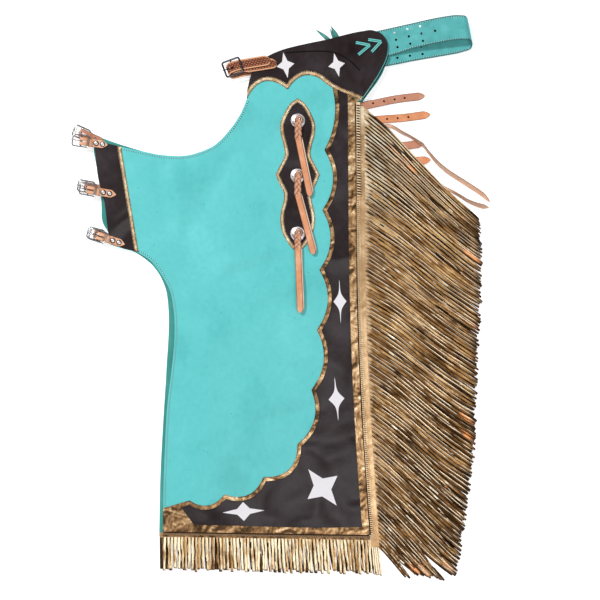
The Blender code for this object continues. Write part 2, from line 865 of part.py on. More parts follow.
def make_side_fringe(name, count, steps, surface, layer, lively, thickness, material, group):
    """Long strands that fall away from the side seam."""
    pitch = (SIDE_TOP - SIDE_BOTTOM) / count
    roots = []
    strands = []
    for index in range(count):
        y = SIDE_TOP - pitch * (index + 0.5)
        half = (pitch - SIDE_SLIT) / 2
        top = Vector((seam_x(y + half) + STRIP_WIDTH, y + half))
        bottom = Vector((seam_x(y - half) + STRIP_WIDTH, y - half))
        fall = math.radians(table_value(STRAND_FALL, y))
        sway = STRAND_SWAY * (1.0 + 0.15 * math.sin(y / 60.0))
        roots.append((top, bottom))
        strands.append(
            side_strand((top + bottom) / 2, fall, pitch, steps, sway, surface, layer, lively)
        )
    bottom_y = SIDE_BOTTOM + SIDE_SLIT / 2
    top_y = SIDE_TOP - SIDE_SLIT / 2
    for index in range(END_STRANDS if lively else 0):
        root, stations = end_strand(index, bottom_y, surface, layer)
        roots.append(root)
        strands.append(stations)
    inner = [Vector((seam_x(bottom_y) + GAP, bottom_y))]
    inner += [Vector((x + GAP, y)) for x, y, _ in SIDE_SEAM[:-1]]
    inner.append(Vector((seam_x(top_y) + GAP, top_y)))
    return make_fringe(
        name, inner, roots, strands, surface, layer, thickness, material, group
    )


def hem_y(x, hem):
    """The hem's y at a place along it."""
    left, right = hem[0], hem[1]
    return left[1] + (right[1] - left[1]) * (x - left[0]) / (right[0] - left[0])


def make_hem_fringe(name, count, left, right, hem, steps, layout, thickness, material, group):
    """Short strands that hang from the hem."""
    surface, layer, lean = layout
    pitch = (right - left) / count
    roots = []
    strands = []
    for index in range(count):
        x = left + pitch * (index + 0.5)
        half = (pitch - HEM_SLIT) / 2
        first = Vector((x - half, hem_y(x - half, hem) - HEM_DROP))
        last = Vector((x + half, hem_y(x + half, hem) - HEM_DROP))
        roots.append((first, last))
        length = HEM_LENGTH + random_source.uniform(-4.0, 3.0)
        slant = random_source.uniform(-0.9, 0.9) + lean * (x - left) / (right - left)
        stations = []
        for step in range(1, steps + 1):
            t = step / steps
            y = (first.y + last.y) / 2 - length * t
            middle = x + slant * t
            thin = half * (1 - 0.12 * t)
            z = on_grid(surface, middle, y) + layer * (1 - smooth_step(t * 1.5))
            stations.append((Vector((middle - thin, y, z)), Vector((middle + thin, y, z))))
        strands.append(stations)
    inner = [
        Vector((right - HEM_SLIT / 2, hem_y(right, hem) - GAP)),
        Vector((left + HEM_SLIT / 2, hem_y(left, hem) - GAP)),
    ]
    return make_fringe(
        name, inner, roots, strands, surface, layer, thickness, material, group
    )


# ---------------------------------------------------------------- buckles

def rounded_frame(length, width, corner):
    """Middle line of a rectangle with round corners, in the plane of x and y."""
    points = []
    for quarter in range(4):
        sign_x = 1 if quarter in (0, 3) else -1
        sign_y = 1 if quarter in (0, 1) else -1
        for step in range(3):
            angle = math.radians(90.0 * quarter + 45.0 * step)
            points.append((
                sign_x * (length / 2 - corner) + corner * math.cos(angle),
                sign_y * (width / 2 - corner) + corner * math.sin(angle),
            ))
    return points


def make_frame(name, length, width, wire, drop, place, material, group, cutters):
    """A buckle frame whose middle bar dips below it, with the bar at the origin."""
    ring = [
        (x, y, drop)
        for x, y in rounded_frame(length - 2 * wire, width - 2 * wire, wire * 2.4)
    ]
    frame = make_wire(name, ring, [wire] * len(ring), True, place, group)
    side = width / 2 - wire
    bar = (
        (0, -side, drop),
        (0, -side + 0.1, drop * 0.45),
        (0, -side + wire * 1.2, 0),
        (0, side - wire * 1.2, 0),
        (0, side - 0.1, drop * 0.45),
        (0, side, drop),
    )
    bar_wire = make_wire(f"{name}_bar", bar, [wire * 0.98] * len(bar), False, place, cutters)
    combine(frame, bar_wire, "UNION")
    set_material(frame, material)
    return frame


def make_prong(name, reach, wire, radius, drop, place, material, group):
    """A prong that wraps round the middle bar and rests on the frame's far end."""
    eye = wire + PLAY + radius
    points = []
    for step in range(7):
        angle = math.radians(-140.0 + 230.0 * step / 6)
        points.append((eye * math.cos(angle), 0.0, eye * math.sin(angle)))
    rest = drop + wire + GAP / 2 + radius
    points.append((-reach * 0.35, 0.0, eye + (rest - eye) * 0.42))
    points.append((-reach + wire, 0.0, rest))
    points.append((-reach - wire * 1.3, 0.0, rest + 0.1))
    radii = [radius] * 8 + [radius * 0.9, radius * 0.55]
    prong = make_wire(name, points, radii, False, place, group)
    set_material(prong, material)
    return prong


def fold_rows(middle, radius, width, aside, steps):
    """Rows of a strap that turns back on itself, from under the bar to over it."""
    first, last = aside
    rows = []
    for step in range(steps + 1):
        angle = -math.pi / 2 - math.pi * step / steps
        shift = first + (last - first) * step / steps
        along = middle + radius * math.cos(angle)
        rows.append((along, radius * math.sin(angle), width, shift))
    return rows


def profile_ribbon(name, profile, thickness, place, material, group):
    """A strap drawn as rows of distance along, height, width and shift aside."""
    rows = []
    for along, height, width, aside in profile:
        rows.append((Vector((along, aside, height)), Vector((0.0, width / 2, 0.0))))
    return make_ribbon(name, rows, thickness, material, group, place)


def make_leg_buckle(row, materials, group, cutters):
    """One leg buckle: chape, frame and prong."""
    name, x, y, turn, tip, face_up = row
    height = UPPER_BAR_HEIGHT if face_up else LOWER_BAR_HEIGHT
    place = Matrix.Translation((x, y, height)) @ Matrix.Rotation(math.radians(turn), 4, "Z")
    if face_up:
        panel = UPPER_REST + TAB_LIFT
        outer = panel + SECOND_LAYER + STRAP_THICKNESS / 2 - height
        inner = panel - GAP - STRAP_THICKNESS / 2 - height
    else:
        place = place @ Matrix.Rotation(math.pi, 4, "X")
        outer = height - STRAP_THICKNESS / 2
        inner = height - LOWER_TAB_LIFT - LEG_THICKNESS - GAP - STRAP_THICKNESS / 2
    width = BUCKLE_STRAP_WIDTH
    half_length = FRAME_LENGTH / 2
    inner_end = 38.0 if face_up else tip
    under = -FOLD_RADIUS if face_up else FOLD_RADIUS - STRAP_THICKNESS - GAP
    bend, level = (10.0, 18.5) if face_up else (18.1, 23.8)
    profile = [
        (inner_end, inner, 6.0, 0.0),
        (inner_end - 9.0, inner, width, 0.0),
        (level, inner, width, 0.0),
        (bend, under, width, 0.0),
        *fold_rows(0.0, FOLD_RADIUS, width, (0.0, 0.0), 6),
        (bend, FOLD_RADIUS, width, 0.0),
        (level, outer, width, 0.0),
        (tip - 9.0, outer, width, 0.0),
        (tip - 3.0, outer, width * 0.55, 0.0),
        (tip, outer, 2.5, 0.0),
    ]
    chape = profile_ribbon(
        f"chape_{name}", profile, STRAP_THICKNESS, place, materials["strap"], group
    )
    slot = make_box_cutter(
        f"slot_{name}", (18.5, 2 * SLOT_HALF_WIDTH, 14.0), (2.25, 0.0, 0.0), place, cutters
    )
    combine(chape, slot, "DIFFERENCE")
    make_frame(
        f"frame_{name}", FRAME_LENGTH, FRAME_WIDTH, WIRE_RADIUS, BAR_DROP, place,
        materials["nickel"], group, cutters,
    )
    make_prong(
        f"prong_{name}", half_length, WIRE_RADIUS, PRONG_RADIUS, BAR_DROP, place,
        materials["nickel"], group,
    )


def make_waist_buckle(materials, group, cutters):
    """The fastened waist buckle with its chape and the billet that runs through it."""
    height = WAIST_BAR_HEIGHT
    place = Matrix.Translation((WAIST_BUCKLE_X, WAIST_BUCKLE_Y, height))
    place = place @ Matrix.Rotation(math.radians(WAIST_BUCKLE_TURN), 4, "Z")
    width = WAIST_STRAP_WIDTH
    half = WAIST_STRAP_THICKNESS / 2
    yoke = UPPER_REST + 5.0
    outer = yoke + THIRD_LAYER + half - height
    inner = yoke - GAP - half - height
    profile = [
        (62.0, inner, width, -16.0),
        (30.0, inner, width, -9.5),
        (14.0, -WAIST_FOLD_RADIUS, width, -2.0),
        *fold_rows(0.0, WAIST_FOLD_RADIUS, width, (-2.0, -2.0), 6),
        (12.0, WAIST_FOLD_RADIUS, width, -3.0),
        (30.0, outer, width, -9.5),
        (74.0, outer, width, -18.3),
        (80.0, outer, width * 0.86, -19.5),
        (83.5, outer, width * 0.62, -20.2),
        (85.0, outer, width * 0.34, -20.5),
    ]
    chape = profile_ribbon(
        "waist_chape", profile, WAIST_STRAP_THICKNESS, place, materials["tooled"], group
    )
    slot = make_box_cutter(
        "waist_slot", (20.0, 3.6, 10.6), (-1.0, 0.0, 0.0), place, cutters
    )
    combine(chape, slot, "DIFFERENCE")
    root = LEG_THICKNESS + GAP + half - height
    over = outer + WAIST_STRAP_THICKNESS + GAP
    profile = [
        (86.0, root, width, -22.0),
        (32.0, root, width, -15.0),
        (16.0, -WAIST_BILLET_RADIUS, width, -12.0),
        *fold_rows(WAIST_BILLET_TURN, WAIST_BILLET_RADIUS, width, (-9.5, 1.0), 9),
        (8.0, WAIST_BILLET_RADIUS, width, 1.0),
        (32.0, over, width, -3.0),
        (64.0, over, width, -8.8),
        (70.0, over, width * 0.86, -9.9),
        (73.5, over, width * 0.62, -10.5),
        (75.0, over, width * 0.34, -10.8),
    ]
    billet = profile_ribbon(
        "waist_billet", profile, WAIST_STRAP_THICKNESS, place, materials["tooled"], group
    )
    hole = make_box_cutter(
        "waist_hole", (15.0, 3.6, 8.0), (-5.5, 0.0, 5.8), place, cutters
    )
    combine(billet, hole, "DIFFERENCE")
    make_frame(
        "waist_frame", WAIST_FRAME_LENGTH, WAIST_FRAME_WIDTH, WAIST_WIRE_RADIUS,
        WAIST_BAR_DROP, place, materials["gunmetal"], group, cutters,
    )
    make_prong(
        "waist_prong", WAIST_FRAME_LENGTH / 2, WAIST_WIRE_RADIUS, WAIST_PRONG_RADIUS,
        WAIST_BAR_DROP, place, materials["gunmetal"], group,
    )


# ------------------------------------------------------- belt, straps, laces

def belt_rows():
    """Rows of the back belt: upper run, half turn, lower run."""
    across = Vector((-math.sin(BELT_DIRECTION), math.cos(BELT_DIRECTION), 0.0))
    along = Vector((math.cos(BELT_DIRECTION), math.sin(BELT_DIRECTION), 0.0))
    centre = Vector(BELT_FOLD_CENTRE)
    rows = [(Vector(row[:3]), across * row[3] / 2) for row in BELT_UPPER]
    for step in range(BELT_FOLD_STEPS + 1):
        angle = math.pi / 2 - math.pi * step / BELT_FOLD_STEPS
        slide = across * (BELT_FOLD_SLIDE * math.sin(angle))
        middle = centre + slide + along * (BELT_FOLD_RADIUS * math.cos(angle))
        middle.z += BELT_FOLD_RADIUS * math.sin(angle)
        rows.append((middle, across * BELT_UPPER[-1][3] / 2))
    rows += [(Vector(row[:3]), across * row[3] / 2) for row in BELT_LOWER]
    return rows


def make_belt(material, group, cutters):
    """The back belt, a loop with punched rows of holes."""
    belt = make_ribbon("back_belt", belt_rows(), BELT_THICKNESS, material, group)
    across = Vector((-math.sin(BELT_DIRECTION), math.cos(BELT_DIRECTION), 0.0))
    upper = [Vector((*BELT_LAST_HOLE, 15.5))]
    lower = []
    for x, upper_y, lower_y in BELT_HOLES:
        for place in (-1, 0, 1):
            shift = across * (BELT_HOLE_PITCH * place)
            upper.append(Vector((x, upper_y, 10.5 + (x - 262.0) * 0.1)) + shift)
            lower.append(Vector((x, lower_y, 2.4)) + shift)
    combine(belt, make_hole_cutters("belt_holes_upper", upper, BELT_HOLE_RADIUS, 7.5, cutters), "DIFFERENCE")
    combine(belt, make_hole_cutters("belt_holes_lower", lower, BELT_HOLE_RADIUS, 7.5, cutters), "DIFFERENCE")
    return belt


def make_leg_strap(name, table, material, group):
    """A leg strap that may turn on its edge."""
    rows = []
    for index, (x, y, z, twist, width) in enumerate(table):
        before = table[max(index - 1, 0)]
        after = table[min(index + 1, len(table) - 1)]
        along = Vector((after[0] - before[0], after[1] - before[1], 0.0)).normalized()
        level = Vector((-along.y, along.x, 0.0))
        angle = math.radians(twist)
        half = (level * math.cos(angle) + Vector((0, 0, 1)) * math.sin(angle)) * width / 2
        rows.append((Vector((x, y, z)), half))
    return make_ribbon(name, rows, STRAP_THICKNESS, material, group)


def make_concho(name, x, y, material, group):
    """A low domed disc on the thigh patch."""
    height = max(
        on_grid(upper_surface, x + CONCHO_RADIUS * math.cos(a), y + CONCHO_RADIUS * math.sin(a))
        for a in (math.tau * step / 12 for step in range(12))
    )
    base = height + THIRD_LAYER
    rings = ((CONCHO_RADIUS, 0.0), (CONCHO_RADIUS, 0.9), (CONCHO_RADIUS * 0.7, 2.5))
    bm = bmesh.new()
    loops = []
    for radius, rise in rings:
        loops.append([
            bm.verts.new((
                x + radius * math.cos(math.tau * side / CONCHO_SIDES),
                y + radius * math.sin(math.tau * side / CONCHO_SIDES),
                base + rise,
            ))
            for side in range(CONCHO_SIDES)
        ])
    for lower, upper in zip(loops, loops[1:]):
        for side in range(CONCHO_SIDES):
            other = (side + 1) % CONCHO_SIDES
            bm.faces.new((lower[side], lower[other], upper[other], upper[side]))
    bm.faces.new(loops[0])
    peak = bm.verts.new((x, y, base + CONCHO_HEIGHT))
    for side in range(CONCHO_SIDES):
        other = (side + 1) % CONCHO_SIDES
        bm.faces.new((loops[-1][side], loops[-1][other], peak))
    publish(bm, name, material, group)
    return base


def string_rest(x, y, half_width):
    """Height of a string's middle where it rests on the patch."""
    sides = (-half_width, 0.0, half_width)
    height = max(on_grid(upper_surface, x + side, y) for side in sides)
    return height + THIRD_LAYER + STRING_THICKNESS + GAP


def make_string(name, row, base, material, group):
    """The braided string that hangs from a concho, with a pointed tail."""
    _, x, y, braid_y, tip_x, tip_y = row
    top = base + CONCHO_HEIGHT + GAP + STRING_THICKNESS
    braid = BRAID_WIDTH / 2
    tail = TAIL_WIDTH / 2
    table = [
        (x, y + 6.0, top, braid * 0.5),
        (x, y, top, braid * 0.8),
        (x, y - 9.0, top - 0.2, braid),
        (x, y - 20.0, base + 3.2, braid),
        (x, braid_y, string_rest(x, braid_y, braid), braid),
        (x + 1.0, braid_y - 5.0, string_rest(x, braid_y - 5.0, tail), tail),
    ]
    start = Vector((x + 1.0, braid_y - 5.0))
    end = Vector((tip_x, tip_y))
    for share, rise, width in TAIL_STATIONS:
        middle = start.lerp(end, share)
        rest = string_rest(middle.x, middle.y, tail)
        table.append((middle.x, middle.y, rest + rise, tail * width))
    rows = []
    for index, (px, py, pz, half) in enumerate(table):
        before = table[max(index - 1, 0)]
        after = table[min(index + 1, len(table) - 1)]
        along = Vector((after[0] - before[0], after[1] - before[1], 0.0)).normalized()
        rows.append((Vector((px, py, pz)), Vector((-along.y, along.x, 0.0)) * half))
    make_ribbon(name, rows, 2 * STRING_THICKNESS, material, group)


def chevron_outline(first, tip, last):
    """Outline of a lace bent into an angle."""
    half = LACE_WIDTH / 2
    points = [Vector(first), Vector(tip), Vector(last)]
    left = []
    right = []
    for index, point in enumerate(points):
        before = (point - points[max(index - 1, 0)])
        after = (points[min(index + 1, 2)] - point)
        before = before.normalized() if before.length else after.normalized()
        after = after.normalized() if after.length else before
        tangent = (before + after).normalized()
        offset = Vector((-tangent.y, tangent.x)) * (half / tangent.dot(after))
        left.append(point + offset)
        right.append(point - offset)
    return left + right[::-1]


# ------------------------------------------------------------------- build

def make_materials():
    """The leathers and metals of the chaps."""
    return {
        "turquoise": make_material("turquoise_leather", (0.10, 0.55, 0.53), 0.55),
        "black": make_material("black_leather", (0.035, 0.028, 0.03), 0.5),
        "gold": make_material("gold_metallic_leather", (0.52, 0.36, 0.18), 0.35, 0.6),
        "white": make_material("white_leather", (0.85, 0.83, 0.85), 0.55),
        "strap": make_material("tan_strap_leather", (0.62, 0.29, 0.15), 0.5),
        "tooled": make_material("tooled_strap_leather", (0.50, 0.20, 0.09), 0.45),
        "nickel": make_material("nickel", (0.72, 0.72, 0.74), 0.25, 1.0),
        "gunmetal": make_material("gunmetal", (0.30, 0.31, 0.34), 0.3, 1.0),
    }


def make_legs(materials, group):
    """Both leg panels."""
    lower = smooth_outline(
        FRONT_EDGE + CROTCH_EDGE[:5] + LOWER_TAB_EDGE + LOWER_UNDER_EDGE
        + LOWER_HEM_EDGE + SIDE_SEAM + LOWER_BACK_EDGE + WAIST_EDGE
    )
    upper = smooth_outline(
        FRONT_EDGE + CROTCH_EDGE + TAB_EDGE + UNDER_EDGE
        + HEM_EDGE + SIDE_SEAM + BACK_EDGE + WAIST_EDGE
    )
    make_sheet("lower_leg", lower, lower_surface, 0.0, LEG_THICKNESS, materials["turquoise"], group)
    make_sheet("upper_leg", upper, upper_surface, 0.0, LEG_THICKNESS, materials["turquoise"], group)


def make_overlays(materials, group):
    """The pieces sewn on the face of the upper leg."""
    def lay(name, outline, layer, finish, thickness=OVERLAY_THICKNESS):
        make_sheet(name, outline, upper_surface, layer, thickness, materials[finish], group)

    border, border_bands = border_outline()
    lay("border_gold", border[:-1] + plain(BORDER_SEAM_END), FIRST_LAYER, "gold")
    inner_border = inset(border, border_bands)
    corner = border_bands.index(LEFT_BAND) + 1
    inner_border[corner] += Vector((BORDER_END_SLANT, 0.0))
    lay("border_black", inner_border, SECOND_LAYER, "black")
    yoke, yoke_bands = yoke_outline()
    lay("yoke_gold", yoke, FIRST_LAYER, "gold")
    lay("yoke_black", inset(yoke, yoke_bands), SECOND_LAYER, "black")
    patch = patch_outline()
    lay("patch_gold", patch, FIRST_LAYER, "gold")
    lay("patch_black", inset(patch, [PATCH_EDGING] * len(patch)), SECOND_LAYER, "black")
    tab = plain(TAB_EDGE)
    lay("tab_black", tab, FIRST_LAYER, "black")
    top, bottom = tab[0], tab[-1]
    lay(
        "tab_gold",
        [
            top + Vector((GAP, 0.0)),
            bottom + Vector((GAP, 0.0)),
            bottom + Vector((EDGING, -2.4)),
            top + Vector((EDGING, -1.4)),
        ],
        FIRST_LAYER,
        "gold",
    )
    for name, x, y, half_width, half_height, turn in STARS:
        lay(name, star_outline(x, y, half_width, half_height, turn), THIRD_LAYER, "white")
    for name, (first, tip, last) in CHEVRONS.items():
        lay(name, chevron_outline(first, tip, last), THIRD_LAYER, "turquoise", LACE_THICKNESS)
    seam = [Vector((x, y)) for x, y, _ in SIDE_SEAM]
    welt = [point + Vector((GAP, 0.0)) for point in seam]
    welt += [point + Vector((8.0, 0.0)) for point in reversed(seam)]
    lay("side_welt", welt[::-1], WELT_LAYER, "gold", WELT_THICKNESS)


def make_fringes(materials, group):
    """Side and hem fringe of both legs."""
    gold = materials["gold"]
    make_side_fringe(
        "lower_side_fringe", LOWER_SIDE_STRANDS, 2, lower_surface, LOWER_FRINGE_REST, 0.0,
        LOWER_FRINGE_THICKNESS, gold, group,
    )
    make_hem_fringe(
        "lower_hem_fringe", LOWER_HEM_STRANDS, -243.0, 178.0, LOWER_HEM_EDGE, 1,
        (lower_surface, LOWER_FRINGE_REST, 16.0), LOWER_FRINGE_THICKNESS, gold, group,
    )
    make_side_fringe(
        "side_fringe", SIDE_STRANDS, 4, upper_surface, STRIP_LAYER, 1.0,
        FRINGE_THICKNESS, gold, group,
    )
    make_hem_fringe(
        "hem_fringe", HEM_STRANDS, -235.5, 180.0, HEM_EDGE, 2,
        (upper_surface, STRIP_LAYER, 6.0), FRINGE_THICKNESS, gold, group,
    )


def make_small_parts(materials, group, cutters):
    """Conchos, strings, lace ends, straps and buckles."""
    for row in CONCHOS:
        base = make_concho(f"concho_{row[0]}", row[1], row[2], materials["nickel"], group)
        make_string(f"string_{row[0]}", row, base, materials["strap"], group)
    for name, outline in LACE_TAILS.items():
        make_sheet(
            name, [Vector(point) for point in outline], lower_surface, LACE_TAIL_HEIGHT,
            LACE_THICKNESS, materials["turquoise"], group,
        )
    make_belt(materials["turquoise"], group, cutters)
    for name, table in LEG_STRAPS.items():
        make_leg_strap(name, table, materials["strap"], group)
    for row in BUCKLES:
        make_leg_buckle(row, materials, group, cutters)
    make_waist_buckle(materials, group, cutters)


def main():
    """Build the chaps."""
    clear_scene()
    group = make_collection("leather_chaps")
    cutters = make_collection("cutters")
    materials = make_materials()
    make_legs(materials, group)
    make_overlays(materials, group)
    make_fringes(materials, group)
    make_small_parts(materials, group, cutters)


main()
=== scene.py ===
"""Looks of a pair of fringed leather rodeo chaps that lie flat, one leg on the other.

Tables are in millimetres, in the pattern's own coordinates: +X to the fringed side
seam, +Y to the waist. to_object() turns them into the scene's metres.
"""

import math
import random
from collections import namedtuple
from functools import cache, partialmethod

import bmesh
import bpy
import numpy as np
from mathutils import Matrix, Vector, noise


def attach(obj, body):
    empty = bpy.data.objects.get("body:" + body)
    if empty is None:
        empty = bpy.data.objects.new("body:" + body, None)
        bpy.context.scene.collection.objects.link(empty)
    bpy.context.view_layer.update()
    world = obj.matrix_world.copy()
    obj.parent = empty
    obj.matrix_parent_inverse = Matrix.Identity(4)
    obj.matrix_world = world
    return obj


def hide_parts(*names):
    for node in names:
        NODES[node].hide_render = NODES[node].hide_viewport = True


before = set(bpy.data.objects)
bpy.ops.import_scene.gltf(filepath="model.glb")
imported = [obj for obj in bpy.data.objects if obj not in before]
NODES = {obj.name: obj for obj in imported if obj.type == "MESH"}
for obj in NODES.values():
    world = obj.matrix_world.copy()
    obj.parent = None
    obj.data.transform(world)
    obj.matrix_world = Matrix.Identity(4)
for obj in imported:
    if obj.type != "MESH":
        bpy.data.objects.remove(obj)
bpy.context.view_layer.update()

MM = 0.001
MIDDLE = Vector((0.8, -4.0, 0.0))
SHIFT = Matrix.Translation(-MIDDLE)
SHRINK = Matrix.Diagonal((MM, MM, MM, 1.0))
UP = Vector((0, 0, 1))
chance = random.Random(7)

# Slots that several pieces share.
TURQUOISE_SLOT = "turquoise_leather"
GOLD_SLOT = "gold_metallic_leather"
BLACK_SLOT = "black_leather"
TAN_SLOT = "tan_strap_leather"
TOOLED_SLOT = "tooled_strap_leather"

# Leather thicknesses and clearances.
GAP = 0.3
LEG = 1.8
OVERLAY = 0.9
LACE = 1.2
STRAP = 1.6
WAIST_STRAP = 2.2
UPPER_REST = LEG + GAP
FIRST_LAYER = LEG + GAP
SECOND_LAYER = FIRST_LAYER + OVERLAY + GAP
THIRD_LAYER = SECOND_LAYER + OVERLAY + GAP
TAB_LIFT = 5.7
WAIST_LIFT = 5.0

# Soft swells: start x, start y, end x, end y, reach, fade, lift.
UPPER_SWELLS = (
    (-372, 311, -341, 111, 105, 95, TAB_LIFT), (-60, 455, -25, 470, 95, 60, WAIST_LIFT),
    (165, 505, 200, 490, 100, 60, 6.9), (150, 360, 320, 220, 100, 80, 2.6),
    (165, 350, 350, 195, 45, 60, 6.2),
)
LOWER_SWELLS = ((-372, 311, -341, 111, 100, 60, STRAP + GAP),)
# Long soft folds: start x, start y, end x, end y, half width, height.
FOLDS = (
    (-150, 230, -120, -60, 70, 6.0), (-60, 180, -90, -300, 75, 4.5),
    (-170, -120, -150, -400, 60, 5.0), (10, 20, -10, -260, 65, 5.5),
)
# Creases pressed into the face of the upper leg: start x, start y, end x, end y,
# half width, depth. A negative depth is a ridge.
CREASES = (
    (-246, 262, -226, 150, 15, 2.8), (-214, 250, -204, 128, 13, -2.0),
    (-104, 282, -184, 132, 20, 3.6), (-150, 300, -200, 205, 14, -1.0),
    (-112, 38, -10, 72, 10, 1.9), (-10, 72, 30, 56, 11, 1.5), (-118, 62, -30, 96, 14, -1.4),
    (-84, 330, -30, 352, 12, 1.2), (-46, -250, 88, -222, 10, 1.9),
    (-30, -218, 60, -196, 13, -1.2), (-200, -318, -130, -300, 8, 0.6),
    (-60, -96, 20, -70, 9, 0.6), (-190, -40, -120, -30, 12, 0.6),
    (20, -150, 66, -140, 10, 0.7), (80, 236, 90, 200, 12, 0.8), (58, 480, 120, 470, 6, -1.0),
    (72, 462, 124, 451, 5, -0.8), (64, 494, 144, 483, 6, -0.6), (134, 438, 164, 408, 6, -1.0),
    (14, 330, 54, 321, 5, -0.6), (16, 252, 52, 262, 5, -0.6), (16, 178, 50, 170, 5, -0.6),
    (62, 470, 60, 430, 9, 0.9), (-20, 462, -34, 418, 9, 0.8), (132, 470, 118, 432, 10, 0.9),
    (30, 446, 52, 470, 8, -0.7), (112, 300, 140, 280, 10, 0.7), (100, -330, 150, -300, 12, 0.8),
    (60, -440, 96, -410, 10, 0.9), (-120, -440, -96, -420, 9, 0.6),
)
# The solids' sheets are flat between the corners of a grid of this size.
CELL = 48.0
RIM_WIDTH = 1.8
# Outlines are drawn in steps of this length and stay sharp where they turn by more.
OUTLINE_STEP = 5.0
SHARP_TURN = math.radians(33.0)

# The side seam and each hem: x, y.
SIDE_SEAM = (
    (181.0, -478.0), (176.4, -425.0), (163.4, -227.0), (157.6, -103.0),
    (154.4, 7.0), (153.4, 153.0), (152.0, 293.0), (150.6, 388.0),
)
HEM = ((-235.5, -473.0), (139.0, -479.0))
LOWER_HEM = ((-243.0, -473.0), (139.0, -478.0))

# Fringe.
STRIP_WIDTH = 16.0
STRIP = 1.5
STRIP_LAYER = FIRST_LAYER + OVERLAY - STRIP
SIDE_TOP = 381.0
SIDE_BOTTOM = -502.0
STRAND_FLOOR = -561.0
STRAND_SWAY = 2.6
END_STRANDS = 4
END_LEAN = 7.0
HEM_DROP = 8.0
HEM_LENGTH = 67.0
# The root's y, and how far the strand falls below the level in degrees.
STRAND_FALL = ((-502, 47), (-400, 45), (-200, 38), (0, 34), (200, 37), (300, 40), (381, 44))
# y, and how far the strands reach in x.
STRAND_REACH = (
    (-570, 352), (-463, 367), (-391, 378), (-319, 388), (-151, 394),
    (-55, 399), (20, 403), (80, 403), (155, 400),
)
# Strands whose end turns over and shows the flesh side.
TURNED_STRANDS = (9, 22, 37, 51, 63, 70, 78, 85, 91, 95, 99, 102, 105, 107)
# Stretches twisted to the flesh side, and stretches in shade: start, end, half width.
TWISTS = (
    (222, 299, 258, 268), (252, 262, 268, 250), (372, 90, 396, 72), (386, -20, 398, -38),
    (389, -57, 396, -67), (366, -236, 388, -258), (366, -270, 384, -286),
    (262, -538, 274, -553), (284, -545, 300, -559), (328, -532, 346, -553),
)
SHADED = (
    (186, 358, 246, 316, 5.0), (246, 316, 297, 262, 7.0), (372, 182, 401, 152, 4.0),
    (392, 118, 404, 100, 4.0), (228, 300, 262, 272, 3.0), (300, 196, 344, 158, 2.6),
)
# Where the side fringe parts near its ends: the mouth, its depth and half its opening.
PARTINGS = ((264.0, -561.0, 44.0, 5.0), (333.0, -562.0, 78.0, 7.5))
# How each leg's fringe is cut and lies. base and rise lift the strands and their roots,
# lively is 1 where they sway and roll, and lean spreads the hem's strands to the right.
Fringe = namedtuple(
    "Fringe", "surface layer strip base rise thickness lively strands stations "
    "hem left right hem_strands lean",
)

# The back belt's middle line: x, y, z, width. Its fold is a half turn.
BELT_DIRECTION = math.radians(11.0)
BELT_THICKNESS = 3.0
BELT_UPPER = (
    (160.0, 496.0, 7.0, 54.0), (219.0, 509.0, 7.0, 54.0), (262.0, 520.0, 10.5, 50.0),
    (308.0, 529.5, 15.5, 50.0), (350.0, 536.0, 17.7, 50.0),
)
BELT_LOWER = (
    (350.0, 512.0, 1.7, 50.0), (308.0, 504.5, 1.6, 50.0), (262.0, 497.0, 1.8, 51.0),
    (226.0, 491.0, 3.8, 54.0), (160.0, 479.0, 3.8, 54.0),
)
BELT_FOLD_CENTRE = (370.0, 527.0, 9.7)
BELT_FOLD_RADIUS = 8.0
BELT_FOLD_SLIDE = 9.0
# Middle x of a row of holes, its middle y on the upper run and on the lower.
BELT_HOLES = ((231.0, 513.2, 492.6), (256.4, 519.6, 497.0), (281.6, 524.8, 500.6))
BELT_HOLE_PITCH = 15.0
BELT_HOLE_RADIUS = 2.4
BELT_LAST_HOLE = (308.4, 529.6)
BELT_SEAM_INSET = 3.2
# A step longer than this, where the belt turns over, ends a run of stitches.
BELT_RUN_BREAK = 9.0

# Leg straps that come out under the fringe: x, y, z, twist in degrees, width.
LEG_STRAPS = {
    "strap_1": (
        (122, 376, 3.0, 0, 16), (171, 383, 3.0, 0, 16), (229, 395, 1.3, 0, 16),
        (272, 400.6, 1.0, 0, 16), (289.4, 402.5, 1.0, 0, 16),
    ),
    "strap_2": (
        (122, 346, 3.0, 0, 16), (195, 354, 3.0, 0, 16), (245, 358, 1.3, 0, 16),
        (283, 363, 1.0, 0, 16), (300.2, 365.1, 1.0, 0, 16),
    ),
    "strap_3": (
        (122, 294, 3.0, 0, 16), (190, 298, 3.0, 0, 16), (249, 302, 3.0, 0, 16),
        (271, 304.6, 2.6, 0, 16), (287, 306.3, 2.2, 0, 16),
    ),
    "strap_4": (
        (122, 264, 3.0, 0, 16), (200, 268, 3.0, 0, 16), (284, 272.5, 3.0, 0, 16),
        (301, 273.9, 3.0, 0, 16),
    ),
    "strap_5": (
        (122, 316, 3.0, 0, 16), (175, 324, 3.0, 0, 16), (204, 337, 3.0, 0, 11),
        (216, 341.5, 3.2, 10, 8), (228, 337.5, 5.5, 50, 9), (241, 329, 8.8, 68, 12),
        (262, 317.5, 12.2, 80, 15), (283, 303.5, 13.3, 82, 16), (297, 286, 13.3, 82, 16),
        (313, 267.5, 12.4, 74, 16), (334, 250, 9.4, 66, 15), (368, 228, 8.2, 63, 15),
        (403, 205, 6.4, 58, 13), (418.6, 190, 4.6, 52, 9),
    ),
    "strap_6": (
        (122, 234, 3.0, 0, 16), (220, 237, 3.0, 0, 16), (285, 235, 3.0, 0, 14),
        (314, 226, 2.6, 0, 8), (331, 217.5, 2.8, 10, 5), (346, 209, 6.0, 55, 8),
        (358, 201.5, 8.4, 72, 12), (373, 192, 9.6, 74, 15), (390, 184.5, 8.6, 66, 15),
        (406, 180, 7.0, 58, 14), (417.4, 177.5, 5.0, 48, 10),
    ),
}
STRAP_WIDTH = 16.0
